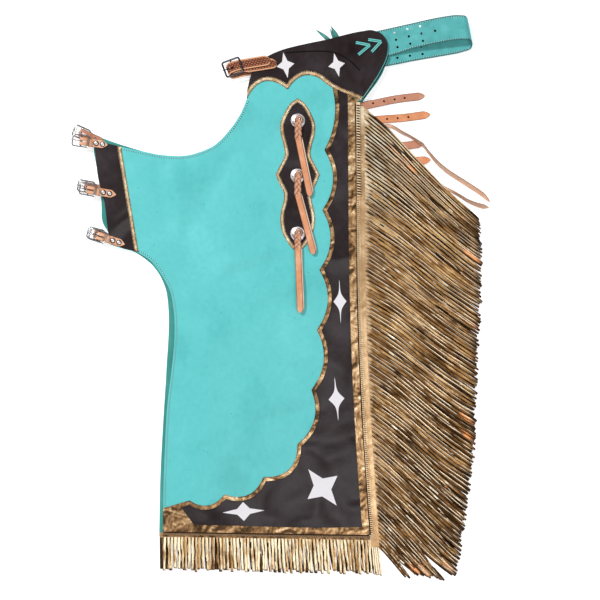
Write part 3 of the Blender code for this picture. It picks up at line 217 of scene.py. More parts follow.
# Punched holes of the leg straps: x, y, z.
STRAP_HOLES = {
    "strap_1": ((185.4, 387.2, 2.6), (207.2, 391.4, 2.0), (228.8, 395.0, 1.3), (248.8, 398.0, 1.2)),
    "strap_2": ((213.4, 355.6, 2.4), (234.6, 357.4, 1.6), (256.2, 359.6, 1.2)),
}

# Leg buckles: name, x, y, turn in degrees, tip distance, face up.
BUCKLES = (
    ("upper_top", -397.8, 310.0, -8.0, 53.0, True),
    ("upper_middle", -383.4, 213.0, -10.0, 56.0, True),
    ("upper_bottom", -363.4, 121.0, -18.0, 55.0, True),
    ("lower_top", -399.0, 328.0, -24.0, 50.0, False),
    ("lower_middle", -389.6, 220.5, -10.0, 50.0, False),
    ("lower_bottom", -370.5, 125.0, -14.0, 50.0, False),
)
FRAME_LENGTH = 35.0
FRAME_WIDTH = 25.0
WIRE = 1.3
PRONG = 1.0
PLAY = 0.35
FOLD_RADIUS = WIRE + PLAY + STRAP / 2
BAR_DROP = FOLD_RADIUS + STRAP / 2 + GAP + WIRE
LOWER_BAR = 2 * PRONG + GAP + WIRE + BAR_DROP
UPPER_BAR = LOWER_BAR + 2 * (FOLD_RADIUS + STRAP / 2) + 2 * GAP
# Rivets of the chapes: distances from the bar.
RIVETS = (30.0, 43.0)
# Profiles of small round pieces: radius, height.
RIVET_PROFILE = (
    (0.0, -0.3), (4.2, -0.3), (4.25, 0.5), (4.1, 1.0), (3.8, 1.3), (3.0, 1.55), (1.6, 1.7),
    (0.0, 1.75),
)
RIVET_SEAT = ((0.0, -0.3), (5.5, -0.3), (5.5, 0.05), (5.1, 0.14), (0.0, 0.14))
RIVET_BACK = ((0.0, -0.2), (2.6, -0.2), (2.6, 0.12), (1.6, 0.2), (0.0, 0.1))
EYE_RING = ((0.0, -0.6), (3.3, -0.6), (3.3, 0.15), (2.9, 0.3), (0.0, 0.3))
EYE_HEAD = ((0.0, -0.3), (1.9, -0.3), (1.95, 0.5), (1.5, 0.85), (0.0, 1.0))

# The waist buckle and its two straps.
WAIST_BUCKLE = (-95.2, 456.8, 20.0)
WAIST_FRAME_LENGTH = 39.0
WAIST_FRAME_WIDTH = 34.0
WAIST_WIRE = 1.6
WAIST_STOCK = 1.9
WAIST_PRONG = 1.1
WAIST_WIDTH = 21.0
WAIST_BAR = 9.6
WAIST_FOLD = WAIST_WIRE + PLAY + WAIST_STRAP / 2
WAIST_BILLET_FOLD = WAIST_FOLD + WAIST_STRAP + 1.5 * GAP
WAIST_BAR_DROP = WAIST_BILLET_FOLD + WAIST_STRAP / 2 + GAP + WAIST_WIRE

# Conchos and their braided strings: name, x, y, braid end y, tail tip x, tail tip y.
CONCHOS = (
    ("top", 35.0, 351.4, 312.0, 60.0, 200.0),
    ("middle", 34.2, 241.6, 200.0, 67.0, 84.0),
    ("bottom", 34.2, 125.6, 94.0, 40.0, -33.0),
)
CONCHO_PROFILE = (
    (0.0, 0.0), (14.5, 0.0), (14.5, 0.7), (13.9, 1.05), (12.9, 1.15), (12.3, 0.95), (11.7, 1.15),
    (10.6, 1.7), (8.6, 2.35), (6.4, 2.8), (4.0, 3.15), (2.0, 3.35), (0.0, 3.4),
)
CONCHO_RADIUS = 14.5
CONCHO_RISE = 3.6
# The flutes lie between these radii.
FLUTES = 12
FLUTES_FROM = 3.5
FLUTES_TO = 11.2
FLUTE_DEPTH = 0.16
BRAID_TURNS = 1.3
BRAID_SPREAD = 4.0
# The flap over a concho: shift aside, shift up, height over its top, half width.
BRAID_HEAD = ((2.0, 9.5, 0.4, 8.0), (2.0, 3.0, 1.9, 8.4), (1.4, -6.0, 1.6, 7.6))
# Share of the way down a tail, and its height over what it lies on.
TAIL_LIFTS = ((0.0, 0.9), (0.15, 0.9), (0.35, 0.8), (0.55, 2.6), (0.8, 2.4), (1.0, 0.7))
# The two layers of a tail: extra height, shift aside, shortening, material.
TAIL_LAYERS = ((0.0, -2.2, 3.0, 2), (1.52, 0.6, 0.0, 1))

# Turquoise laces of the yoke's back end: one end, the tip, the other end.
CHEVRONS = {
    "chevron_front": ((150.6, 506.8), (178.4, 501.4), (155.6, 482.6)),
    "chevron_back": ((175.4, 512.6), (201.0, 508.8), (182.2, 488.4)),
}
# Share of the way along a lace, and its height over the yoke.
LACE_LIFTS = ((0.0, 0.0), (0.12, 0.5), (0.5, 0.8), (0.9, 0.5), (1.0, 0.1))
# Lace ends past the waist edge: root, middle and tip of each cut end, and half its width.
LACE_ENDS = {
    "lace_tail_front": (((99.5, 511.6), (86.0, 523.0), (71.4, 534.0), 3.7),),
    "lace_tail_back": (
        ((115.0, 515.0), (108.4, 528.0), (101.2, 541.6), 4.3),
        ((108.6, 514.0), (104.2, 524.0), (99.2, 536.4), 2.6),
    ),
}
# A seam that curves over the yoke.
YOKE_SEAM = ((11.0, 487.0), (57.0, 489.6), (103.0, 487.8), (133.6, 474.4), (158.4, 451.4))

# The studio, in metres. Lights point at the middle of the floor: name, place, size, power.
CAMERA_PLACE = (0.0382, -0.0030, 2.8413)
LIGHTS = (
    ("key", (-2.5, 2.7, 3.3), 0.7, 168.0), ("fill", (2.5, -1.9, 2.9), 2.2, 42.0),
    ("top", (0.3, -0.9, 3.8), 1.4, 36.0),
)


# ---------------------------------------------------------------- heights

def smooth_step(value):
    """Ease from 0 to 1."""
    value = min(max(value, 0.0), 1.0)
    return value * value * (3.0 - 2.0 * value)


def line_distance(x, y, x0, y0, x1, y1):
    """Distance from a point to a straight piece of line."""
    run_x, run_y = x1 - x0, y1 - y0
    along = ((x - x0) * run_x + (y - y0) * run_y) / (run_x * run_x + run_y * run_y)
    along = min(max(along, 0.0), 1.0)
    return math.hypot(x - x0 - run_x * along, y - y0 - run_y * along)


def swell_height(x, y, swells):
    """Height of the tallest swell at a place."""
    height = 0.0
    for *ends, reach, fade, lift in swells:
        distance = line_distance(x, y, *ends)
        height = max(height, lift * (1.0 - smooth_step((distance - reach) / fade)))
    return height


def upper_form(x, y):
    """Height of the upper leg's underside, without its creases."""
    height = UPPER_REST + swell_height(x, y, UPPER_SWELLS)
    for *ends, half_width, rise in FOLDS:
        height += rise * (1.0 - smooth_step(line_distance(x, y, *ends) / (half_width * 1.6)))
    return height


def upper_surface(x, y):
    """Height of the upper leg's underside, creases and all."""
    height = upper_form(x, y)
    for *ends, half_width, depth in CREASES:
        distance = line_distance(x, y, *ends) / half_width
        if distance < 2.6:
            height -= depth * math.exp(-distance * distance)
    return height


def lower_surface(x, y):
    """Height of the lower leg's underside."""
    return swell_height(x, y, LOWER_SWELLS)


def upper_lift(layer):
    """Height function of a layer's face on the upper leg."""
    return lambda x, y: upper_surface(x, y) + layer


def on_grid(surface, x, y):
    """Height of a surface of the solids, flat between the corners of their grid."""
    column, row = math.floor(x / CELL), math.floor(y / CELL)
    across, up = x / CELL - column, y / CELL - row
    right = surface((column + 1) * CELL, row * CELL)
    top = surface(column * CELL, (row + 1) * CELL)
    if across + up <= 1.0:
        corner = surface(column * CELL, row * CELL)
        return corner + across * (right - corner) + up * (top - corner)
    corner = surface((column + 1) * CELL, (row + 1) * CELL)
    return corner + (1.0 - across) * (top - corner) + (1.0 - up) * (right - corner)


UPPER_FRINGE = Fringe(
    upper_surface, STRIP_LAYER, STRIP, 0.0, STRIP_LAYER, 1.3, 1.0, 110, 26,
    HEM, -235.5, 180.0, 60, 6.0,
)
LOWER_FRINGE = Fringe(
    lower_surface, 0.4, 1.4, 0.15, 0.3, 1.2, 0.0, 104, 12, LOWER_HEM, -243.0, 178.0, 48, 16.0,
)


# ------------------------------------------------------------- small tools

def hermite(start, end, leave, arrive, t):
    """Point on a smooth span."""
    return (
        start * (2 * t**3 - 3 * t**2 + 1) + leave * (t**3 - 2 * t**2 + t)
        + end * (3 * t**2 - 2 * t**3) + arrive * (t**3 - t**2)
    )


def ease(rows, spacing):
    """A smooth run through rows, each a place and what goes with it."""
    lengths = [max((b[0] - a[0]).length, 1e-6) for a, b in zip(rows, rows[1:])]

    def slope(index, item):
        low, high = max(index - 1, 0), min(index + 1, len(rows) - 1)
        return (rows[high][item] - rows[low][item]) / sum(lengths[low:high])

    made = []
    for index, length in enumerate(lengths):
        steps = max(1, round(length / spacing))
        for step in range(steps):
            made.append(tuple(
                hermite(
                    rows[index][item], rows[index + 1][item],
                    slope(index, item) * length, slope(index + 1, item) * length, step / steps,
                )
                for item in range(len(rows[0]))
            ))
    return made + [tuple(rows[-1])]


def ahead_of(points, index):
    """Direction of a run at one of its points."""
    ahead = points[min(index + 1, len(points) - 1)] - points[max(index - 1, 0)]
    return ahead.normalized()


def left_of(along):
    """The level direction to the left of a flat one."""
    return Vector((-along.y, along.x))


def resample(points, pitch):
    """Places with their directions, one each pitch along a run of points."""
    made = []
    carried = pitch / 2
    for start, end in zip(points, points[1:]):
        run = end - start
        length = run.length
        while carried <= length:
            made.append((start + run * (carried / length), run / length))
            carried += pitch
        carried -= length
    return made


def select(*objects):
    """Make these the only selected objects, and the first one active."""
    bpy.ops.object.select_all(action="DESELECT")
    for obj in objects:
        obj.select_set(True)
    if objects:
        bpy.context.view_layer.objects.active = objects[0]


def join(pieces, name):
    """Several pieces as one."""
    select(*pieces)
    if len(pieces) > 1:
        bpy.ops.object.join()
    pieces[0].name = name
    return pieces[0]


def apply_modifier(obj, kind, **values):
    """Add a modifier to a piece and apply it."""
    modifier = obj.modifiers.new("change", kind)
    for key, value in values.items():
        setattr(modifier, key, value)
    select(obj)
    bpy.ops.object.modifier_apply(modifier=modifier.name)


def link(name, data):
    """A new object in the scene."""
    made = bpy.data.objects.new(name, data)
    bpy.context.scene.collection.objects.link(made)
    return made


def to_object(bm, name, materials, place=Matrix()):
    """Turn a mesh measured in pattern millimetres into a piece of the scene."""
    bmesh.ops.transform(bm, matrix=place, verts=bm.verts[:])
    bmesh.ops.recalc_face_normals(bm, faces=bm.faces[:])
    bmesh.ops.translate(bm, vec=-MIDDLE, verts=bm.verts[:])
    bmesh.ops.scale(bm, vec=(MM,) * 3, verts=bm.verts[:])
    mesh = bpy.data.meshes.new(name)
    bm.to_mesh(mesh)
    bm.free()
    for material in materials:
        mesh.materials.append(material)
    return link(name, mesh)


def settle(obj, slot, *nodes, body="chaps", smooth=None, painted_flank_shade=False):
    """Finish a piece: its shading up to an angle, its body and its solids. slot is not used."""
    if smooth:
        select(obj)
        bpy.ops.object.shade_smooth_by_angle(angle=math.radians(smooth))
    # The flank layer feeds the painted shade on steep metal flanks.
    if painted_flank_shade:
        layer = obj.data.attributes.new("flank", "FLOAT", "POINT")
        for vert, steep in zip(obj.data.vertices, layer.data):
            steep.value = 1.0 - abs(vert.normal.z)
    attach(obj, body)
    if nodes:
        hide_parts(*nodes)
    return obj


def add_face(bm, corners, values, material=0):
    """A face with a UV at each of its corners."""
    uv = bm.loops.layers.uv.verify()
    face = bm.faces.new(corners)
    face.material_index = material
    for loop, value in zip(face.loops, values):
        loop[uv].uv = value


def corner_values(near, far, side, other):
    """UVs of a face between two rings and two sides."""
    return (near, side), (near, other), (far, other), (far, side)


def loft(bm, rings, along, around, closed=False, material=0):
    """Faces through rings of points, with a UV that runs along and around."""
    made = [[bm.verts.new(point) for point in ring] for ring in rings]
    count = len(around)
    for first in range(len(made) if closed else len(made) - 1):
        second = (first + 1) % len(made)
        far = along[second] if second else along[-1] + (along[-1] - along[-2])
        for side in range(count):
            other = (side + 1) % count
            low, high = made[first], made[second]
            add_face(
                bm, (low[side], low[other], high[other], high[side]),
                corner_values(along[first], far, around[side], around[other]), material,
            )
    if not closed:
        for ring, value in ((made[0], along[0]), (made[-1], along[-1])):
            add_face(bm, ring, [(value, turn) for turn in around], material)


def add_tube(bm, points, radii, sides=12, closed=False, flatten=1.0, upright=UP):
    """A round bar through points. flatten squeezes it along the upright direction."""
    rings = []
    along = []
    travelled = 0.0
    count = len(points)
    for index, (point, radius) in enumerate(zip(points, radii)):
        if closed:
            tangent = (points[(index + 1) % count] - points[index - 1]).normalized()
        else:
            tangent = ahead_of(points, index)
        side = upright.cross(tangent)
        if side.length < 0.05:
            side = Vector((0, 1, 0)).cross(tangent)
        side.normalize()
        up = tangent.cross(side)
        turns = [math.tau * step / sides for step in range(sides)]
        rings.append([
            point + (side * math.cos(angle) + up * (math.sin(angle) * flatten)) * radius
            for angle in turns
        ])
        if index:
            travelled += (point - points[index - 1]).length
        along.append(travelled * MM)
    loft(bm, rings, along, [step / sides for step in range(sides)], closed)


def tip_share(distance, length, blunt):
    """Share of its width that a strap keeps at a distance from its pointed end."""
    if distance >= length:
        return 1.0
    share = max(distance, 0.0) / length
    if blunt == "round":
        return max(0.12, math.sqrt(1.0 - (1.0 - share) ** 2))
    return max(0.1, share ** blunt)


def add_strap(bm, rows, thickness, spacing=3.0, tips=(None, None), round_edge=0.45, material=0):
    """A flat strap through rows of middle and half-width vector.

    tips holds for each end (length, bluntness) of its point, with "round" for a half-round
    end, or None for a square one.
    """
    rows = ease(rows, spacing)
    middles = [row[0] for row in rows]
    travelled = [0.0]
    for before, after in zip(middles, middles[1:]):
        travelled.append(travelled[-1] + (after - before).length)
    rings = []
    for index, (middle, half) in enumerate(rows):
        share = 1.0
        for tip, distance in zip(tips, (travelled[index], travelled[-1] - travelled[index])):
            if tip:
                share *= tip_share(distance, *tip)
        half = half * share
        normal = half.cross(ahead_of(middles, index)).normalized() * (thickness / 2)
        corner = min(round_edge, thickness * 0.45, half.length * 0.5)
        inner = half * (1 - corner / half.length)
        shallow = normal * (1 - 2 * corner / thickness)
        rings.append([
            middle - half - shallow, middle - inner - normal,
            middle + inner - normal, middle + half - shallow,
            middle + half + shallow, middle + inner + normal,
            middle - inner + normal, middle - half + shallow,
        ])
    around = (-1.0, -0.92, 0.92, 1.0, 1.0, 0.92, -0.92, -1.0)
    loft(bm, rings, [value * MM for value in travelled], around, material=material)


def make(add, name, finish, *args, place=Matrix(), **shape):
    """One bar or strap as a piece."""
    bm = bmesh.new()
    add(bm, *args, **shape)
    return to_object(bm, name, (finish,), place)


def make_line(name, run, radius, finish, slot, flatten=1.0):
    """A thin line along a run, as a seam or the edge of a hidden piece."""
    line = make(add_tube, name, finish, run, [radius] * len(run), sides=8, flatten=flatten)
    settle(line, slot, smooth=50)


def punch(obj, cuts, wall=None):
    """Cut holes with cutters. wall is the material of the holes' sides."""
    if wall is not None:
        obj.data.materials.append(wall)
        for cut in cuts:
            for material in obj.data.materials:
                cut.data.materials.append(material)
            for polygon in cut.data.polygons:
                polygon.material_index = len(obj.data.materials) - 1
    cutter = join(cuts, "cutter")
    apply_modifier(obj, "BOOLEAN", operation="DIFFERENCE", solver="EXACT", object=cutter)
    bpy.data.objects.remove(cutter, do_unlink=True)


def round_cutter(x, y, z, radius, depth):
    """An upright round punch at a pattern place."""
    select()
    bpy.ops.mesh.primitive_cylinder_add(
        vertices=20, radius=radius * MM, depth=depth * MM,
        location=(Vector((x, y, z)) - MIDDLE) * MM,
    )
    return bpy.context.object


def slot_cutter(place, size, middle):
    """A slot punch in a buckle's own place."""
    select()
    bpy.ops.mesh.primitive_cube_add(size=1.0)
    for step in (Matrix.Diagonal((*size, 1.0)), place @ Matrix.Translation(middle), SHIFT, SHRINK):
        bpy.context.object.data.transform(step)
    return bpy.context.object


# --------------------------------------------------------------- materials

class Look:
    """A new material, with short ways to make and join its nodes."""

    def __init__(self, name):
        self.material = bpy.data.materials.new(name)
        self.material.use_nodes = True
        self.tree = self.material.node_tree
        self.shader = self.tree.nodes["Principled BSDF"]
        self.place = self.coordinates()

    def feed(self, socket, value):
        """Link a socket to another one, or set its value. A colour gets its alpha."""
        if isinstance(value, bpy.types.NodeSocket):
            self.tree.links.new(value, socket)
        else:
            socket.default_value = (*value, 1.0) if socket.type == "RGBA" else value

    def set(self, node, **values):
        """Set a node's properties and inputs by name."""
        for key, value in values.items():
            if hasattr(node, key):
                setattr(node, key, value)
            else:
                self.feed(node.inputs[key.replace("_", " ")], value)
        return node

    def node(self, kind, **values):
        """A new node and its settings."""
        return self.set(self.tree.nodes.new(f"ShaderNode{kind}"), **values)

    def coordinates(self, scale=(1, 1, 1), turn=0.0, kind="POINT"):
        """Object coordinates, stretched and turned about the upright axis."""
        source = self.node("TexCoord").outputs["Object"]
        mapping = self.node(
            "Mapping", vector_type=kind, Vector=source, Scale=scale, Rotation=(0, 0, turn),
        )
        return mapping.outputs["Vector"]

    def split(self, vector):
        """The parts of a vector."""
        return self.node("SeparateXYZ", Vector=vector).outputs

    def uv(self):
        """Distance along a piece, and how far aside, from -1 to 1."""
        return self.split(self.node("UVMap").outputs["UV"])[:2]

    def ramp(self, source, *stops):
        """A smooth colour ramp: stops are (place, colour)."""
        made = self.node("ValToRGB", Fac=source)
        made.color_ramp.interpolation = "EASE"
        elements = made.color_ramp.elements
        while len(elements) < len(stops):
            elements.new(0.5)
        for element, (place, colour) in zip(elements, stops):
            element.position = place
            element.color = (*colour, 1.0)
        return made.outputs["Color"]

    def gate(self, source, low, high, most=1.0):
        """A value that rises from 0 to most between low and high."""
        return self.ramp(source, (low, (0, 0, 0)), (high, (most,) * 3))

    def noise(self, scale, detail=3.0, roughness=0.55, distortion=0.0, at=None):
        """A soft noise."""
        return self.node(
            "TexNoise", Vector=at or self.place, Scale=scale, Detail=detail,
            Roughness=roughness, Distortion=distortion,
        ).outputs["Fac"]

    def cells(self, scale, feature="F1"):
        """Distance to the middle of the nearest of many small cells."""
        made = self.node("TexVoronoi", Vector=self.place, Scale=scale, feature=feature)
        return made.outputs["Distance"]

    def mix(self, factor, first, second):
        """One colour over another."""
        made = self.node("Mix", data_type="RGBA")
        for index, value in ((0, factor), (6, first), (7, second)):
            self.feed(made.inputs[index], value)
        return made.outputs[2]

    def maths(self, operation, *values):
        """A sum of values or sockets."""
        made = self.node("Math", operation=operation)
        for socket, value in zip(made.inputs, values):
            self.feed(socket, value)
        return made.outputs[0]

    plus = partialmethod(maths, "ADD")
    minus = partialmethod(maths, "SUBTRACT")
    times = partialmethod(maths, "MULTIPLY")

    def attribute(self, name):
        """A value carried by the mesh."""
        return self.node("Attribute", attribute_name=name).outputs["Fac"]

    def dark_rim(self, colour, dark, share):
        """Darken a sheet's colour beside its cut edge: partly the edge's own colour, partly painted
        shade.
        """
        return self.mix(self.gate(self.attribute("rim"), 0.1, 0.6, share), colour, dark)

    def bump(self, height, strength, distance, below=None):
        """Relief from a height, distance in metres."""
        made = self.node("Bump", Height=height, Strength=strength, Distance=distance)
        if below is not None:
            self.feed(made.inputs["Normal"], below)
        return made.outputs["Normal"]

    def finish(self, colour, roughness, normal, **values):
        """Feed the shader and hand over the material."""
        self.set(self.shader, Base_Color=colour, Roughness=roughness, Normal=normal, **values)
        return self.material


def leather(name, dark, middle, light, mottle=9.0, grain=620.0, relief=0.3, gloss=0.5,
            wrinkle=0.35, specks=None, sheen=0.0, rim=None, shine=0.4, creases=(46.0, 0.0016, 3.0)):
    """A dyed leather: cloudy colour, pebble grain, and wrinkles of a size, depth and detail."""
    look = Look(name)
    clouds = look.noise(mottle, 5.0, 0.6)
    colour = look.ramp(clouds, (0.3, dark), (0.5, middle), (0.72, light))
    fine = look.ramp(look.noise(95.0, 4.0, 0.6), (0.35, dark), (0.65, light))
    colour = look.mix(0.14, colour, fine)
    if specks:
        mark = look.maths("LESS_THAN", look.cells(60.0), 0.07)
        some = look.maths("GREATER_THAN", look.noise(17.0), 0.52)
        colour = look.mix(look.times(mark, some), colour, specks)
    # rim darkens the cut edge: partly its own colour, partly painted shade.
    if rim:
        colour = look.dark_rim(colour, rim, 0.7)
    size, depth, detail = creases
    normal = look.bump(look.noise(size, detail, 0.5, 0.6), wrinkle, depth)
    normal = look.bump(look.cells(grain, "SMOOTH_F1"), relief, 0.00035, normal)
    return look.finish(
        colour, look.maths("MULTIPLY_ADD", clouds, 0.22, gloss - 0.1), normal,
        Specular_IOR_Level=shine, Sheen_Weight=sheen, Sheen_Roughness=0.45,
    )


def gold_leather(name, crinkle=0.6, size=58.0, dark=(0.07, 0.038, 0.016), relief=0.3, pucker_shading=1.0,
                 lift=0.0, rim=0.8, cloudy=1.0, low=0.0, high=0.0):
    """A metallic foil leather with the painted light and shade of puckers lit from one side,
    and darker clouds of wear.

    lift makes it paler. low takes from that at the foot of the leg, and high adds to it at the top.
    """
    look = Look(name)
    # Painted light and shade of puckers: a noise less the same noise a little to the upper left.
    beside = look.node("VectorMath").outputs[0]
    look.feed(beside.node.inputs[0], look.place)
    beside.node.inputs[1].default_value = (-0.0028, 0.0042, 0.0)
    slope = look.minus(look.noise(30.0, 3.0, 0.55, 0.8), look.noise(30.0, 3.0, 0.55, 0.8, beside))
    clouds = look.plus(
        look.noise(size, 3.5, 0.6, 0.9), look.times(look.noise(size * 0.24, 2.0), 0.5),
    )
    clouds = look.times(look.minus(clouds, 0.75), cloudy)
    middle = 0.5 + lift
    up = look.ramp(
        look.plus(look.split(look.place)["Y"], 0.6),
        *((place, (value,) * 3) for place, value in (
            (0.13, middle - low), (0.19, middle), (0.92, middle), (0.97, middle + high),
        )),
    )
    level = look.plus(look.plus(clouds, look.times(slope, 1.9 * pucker_shading)), up)
    colour = look.ramp(
        level, (0.20, dark), (0.38, (0.25, 0.135, 0.058)), (0.54, (0.46, 0.280, 0.135)),
        (0.68, (0.66, 0.45, 0.25)), (0.88, (0.98, 0.80, 0.54)),
    )
    colour = look.mix(look.gate(look.noise(900.0, 2.0, 0.7), 0.55, 0.72, 0.5), colour, dark)
    colour = look.dark_rim(colour, (0.06, 0.03, 0.014), rim)
    normal = look.bump(look.noise(size * 1.3, 2.5, 0.5, 1.2), crinkle, 0.004)
    normal = look.bump(look.noise(700.0, 2.0), relief, 0.0004, normal)
    return look.finish(
        colour, look.maths("MULTIPLY_ADD", look.noise(120.0), 0.25, 0.26), normal,
        Metallic=0.55, Specular_IOR_Level=0.12,
    )


def strand_leather(name, lift=0.0, pale=0.95, turn=-38.0, reach=9.0):
    """Foil leather cut into strands that run at turn degrees.

    Neighbours share clouds that run along the cut. Each strand has its own tone and streaks,
    a painted highlight along one edge, painted shade along the other, painted shadow where it
    leaves its neighbour, and painted glints.
    """
    look = Look(name)
    mix, gate, times, plus = look.mix, look.gate, look.times, look.plus
    grain = look.coordinates((2.0, 0.8, 1.0), math.radians(turn), "TEXTURE")
    along, side = look.uv()
    other_side = times(side, -1.0)
    # flesh is 1 on the flesh side and below 0 where shade is painted.
    tone, flesh = look.attribute("tone"), look.attribute("flesh")

    def own(layer, stretch=1.0):
        """A noise along each strand that its neighbours don't share."""
        place = look.node(
            "CombineXYZ", X=times(along, reach * stretch), Y=times(tone, 60.0), Z=layer,
        )
        return look.noise(1.0, 2.0, 0.5, at=place.outputs[0])

    level = look.noise(34.0, 5.0, 0.68, 0.5, grain)
    for source, share in ((tone, 0.18), (own(0.0), 0.24), (look.noise(11.0, 2.0), 0.42)):
        level = plus(level, times(look.minus(source, 0.5), share))
    down = look.split(look.place)["Y"]
    level = plus(level, plus(times(down, 0.22), lift))
    # top marks the top of the fringe, where a painted highlight brightens the roots and the painted
    # edge lines grow.
    top = gate(down, 0.14, 0.30)
    level = plus(level, times(top, gate(look.minus(0.7, along), 0.0, 0.6, 0.12)))
    colour = look.ramp(
        level, (0.26, (0.054, 0.023, 0.006)), (0.42, (0.165, 0.080, 0.026)),
        (0.54, (0.305, 0.160, 0.058)), (0.68, (0.58, 0.350, 0.145)), (0.86, (1.0, 0.81, 0.52)),
    )
    begun = gate(look.minus(along, times(tone, 0.04)), 0.0, 0.03)
    root_highlight = times(top, gate(look.minus(0.40, along), 0.0, 0.30, 0.75))
    wear_and_highlight = gate(plus(own(20.0, 0.55), times(top, 0.12)), 0.42, 0.54, pale)
    shadow_line = gate(plus(own(40.0, 0.55), times(top, 0.24)), 0.48, 0.55, 0.97)
    edge = gate(plus(other_side, times(top, 0.35)), 0.25, 0.50)
    wedge_shadow = times(gate(own(60.0, 0.6), 0.60, 0.64, 0.97), gate(other_side, -0.75, -0.35))
    # Tints in turn: the strip's colour before a strand begins, painted highlight near the roots at
    # the top, the orange flesh side, painted highlight along one edge, painted shade along the
    # other, a painted shadow line, painted shadow wedges, painted glints, darker tips, and painted
    # shade where flesh is below 0.
    for share, tint in (
        (look.minus(0.8, times(begun, 0.8)), (0.62, 0.43, 0.25)),
        (times(root_highlight, gate(own(100.0, 0.7), 0.40, 0.56)), (1.0, 0.86, 0.62)),
        (flesh, (0.86, 0.34, 0.12)),
        (times(times(gate(side, 0.50, 0.68), wear_and_highlight), begun), (1.0, 0.84, 0.62)),
        (times(gate(other_side, 0.45, 0.75, 0.55), begun), (0.035, 0.018, 0.008)),
        (times(times(edge, shadow_line), begun), (0.010, 0.005, 0.002)),
        (times(wedge_shadow, begun), (0.008, 0.005, 0.003)),
        (times(gate(own(80.0, 0.6), 0.665, 0.71, 0.85), gate(side, -0.35, 0.1)), (1.0, 0.90, 0.72)),
        (gate(along, 0.93, 1.0, 0.75), (0.03, 0.018, 0.009)),
        (times(flesh, -1.0), (0.016, 0.010, 0.006)),
    ):
        colour = mix(share, colour, tint)
    normal = look.bump(look.noise(160.0, 3.0, at=grain), 0.5, 0.0012)
    return look.finish(colour, 0.4, normal, Metallic=0.4, Specular_IOR_Level=0.08)


def strap_leather(name, dark, middle, light, flesh=False, burnish=0.93):
    """Vegetable-tanned strap leather with burnished, darker edges."""
    look = Look(name)
    colour = look.ramp(look.noise(40.0, 4.0, 0.6), (0.3, dark), (0.5, middle), (0.7, light))
    side = look.maths("ABSOLUTE", look.uv()[1])
    burnt = look.gate(side, burnish - 0.1, burnish + 0.03, 0.8)
    colour = look.mix(burnt, colour, tuple(0.22 * value for value in dark))
    normal = look.bump(look.noise(190.0, 4.0), 0.35, 0.0006)
    normal = look.bump(look.cells(900.0), 0.25, 0.0003, normal)
    return look.finish(colour, 0.75 if flesh else 0.42, normal)


def tooled_leather(name):
    """Strap leather stamped with a basket weave between two plain borders."""
    look = Look(name)
    along, aside = look.uv()
    place = look.node("CombineXYZ", X=along, Y=look.times(aside, 0.0105))
    weave = look.node(
        "TexBrick", Vector=place.outputs[0], Scale=1.0, Brick_Width=0.0060, Row_Height=0.0036,
        Mortar_Size=0.0011, Mortar_Smooth=0.5,
    )
    side = look.maths("ABSOLUTE", aside)
    pressed = look.times(weave.outputs["Fac"], look.maths("LESS_THAN", side, 0.66))
    line = look.maths("COMPARE", side, 0.69, 0.03)
    pressed = look.maths("MAXIMUM", pressed, look.times(line, 0.7))
    colour = look.ramp(look.noise(60.0), (0.3, (0.46, 0.125, 0.045)), (0.7, (0.62, 0.21, 0.085)))
    colour = look.mix(look.gate(side, 0.68, 0.72), colour, (0.80, 0.40, 0.22))
    colour = look.mix(pressed, colour, (0.055, 0.013, 0.005))
    burnt = look.times(look.maths("GREATER_THAN", side, 0.955), 0.6)
    colour = look.mix(burnt, colour, (0.13, 0.05, 0.025))
    return look.finish(colour, 0.38, look.bump(look.minus(1.0, pressed), 0.9, 0.0007))


def metal(name, colour, rough, wear_and_highlight, dark=(0.03, 0.03, 0.035), gentle=0.30, steep=0.50):
    """A plated metal, duller with wear and with painted shade on its flanks."""
    look = Look(name)
    spread = look.noise(210.0, 4.0, 0.6)
    # Painted shade where the surface turns steep.
    flank = look.ramp(
        look.attribute("flank"), (0.03, (0, 0, 0)), (gentle, (0.55,) * 3), (steep, (0.98,) * 3),
    )
    tint = look.mix(flank, look.ramp(spread, (0.3, wear_and_highlight), (0.6, colour)), dark)
    normal = look.bump(look.noise(420.0, 2.0), 0.12, 0.0003)
    return look.finish(tint, look.maths("MULTIPLY_ADD", spread, 0.2, rough), normal, Metallic=1.0)


def thread(name, dark, light):
    """Waxed thread, twisted."""
    look = Look(name)
    twist = look.noise(1500.0, 2.0)
    colour = look.ramp(twist, (0.35, dark), (0.65, light))
    return look.finish(colour, 0.75, look.bump(twist, 0.4, 0.0002), Specular_IOR_Level=0.12)


TEAL = leather(
    "turquoise_face", (0.082, 0.50, 0.50), (0.112, 0.575, 0.575), (0.146, 0.645, 0.645),
    mottle=6.0, specks=(0.05, 0.36, 0.35), rim=(0.03, 0.20, 0.19),
)
TEAL_FLESH = leather(
    "turquoise_flesh", (0.035, 0.25, 0.22), (0.055, 0.31, 0.275), (0.085, 0.39, 0.35),
    mottle=14.0, grain=1100.0, relief=0.6, gloss=0.85, sheen=0.15, rim=(0.02, 0.12, 0.11),
)
TEAL_EDGE = leather(
    "turquoise_edge", (0.02, 0.15, 0.14), (0.035, 0.20, 0.19), (0.05, 0.27, 0.25),
    mottle=60.0, gloss=0.8,
)
BLACK = leather(
    "black_face", (0.012, 0.006, 0.007), (0.020, 0.012, 0.013), (0.036, 0.025, 0.028),
    mottle=12.0, gloss=0.34, wrinkle=1.0, rim=(0.003, 0.002, 0.002), shine=0.22,
    creases=(9.0, 0.016, 1.2),
)
WHITE = leather(
    "white_face", (0.76, 0.73, 0.76), (0.80, 0.77, 0.80), (0.84, 0.81, 0.84),
    relief=0.25, rim=(0.45, 0.42, 0.44), shine=0.3,
)
GOLD = gold_leather("gold_face", 0.5, 40.0, lift=-0.05, cloudy=1.05, low=0.12, high=-0.07)
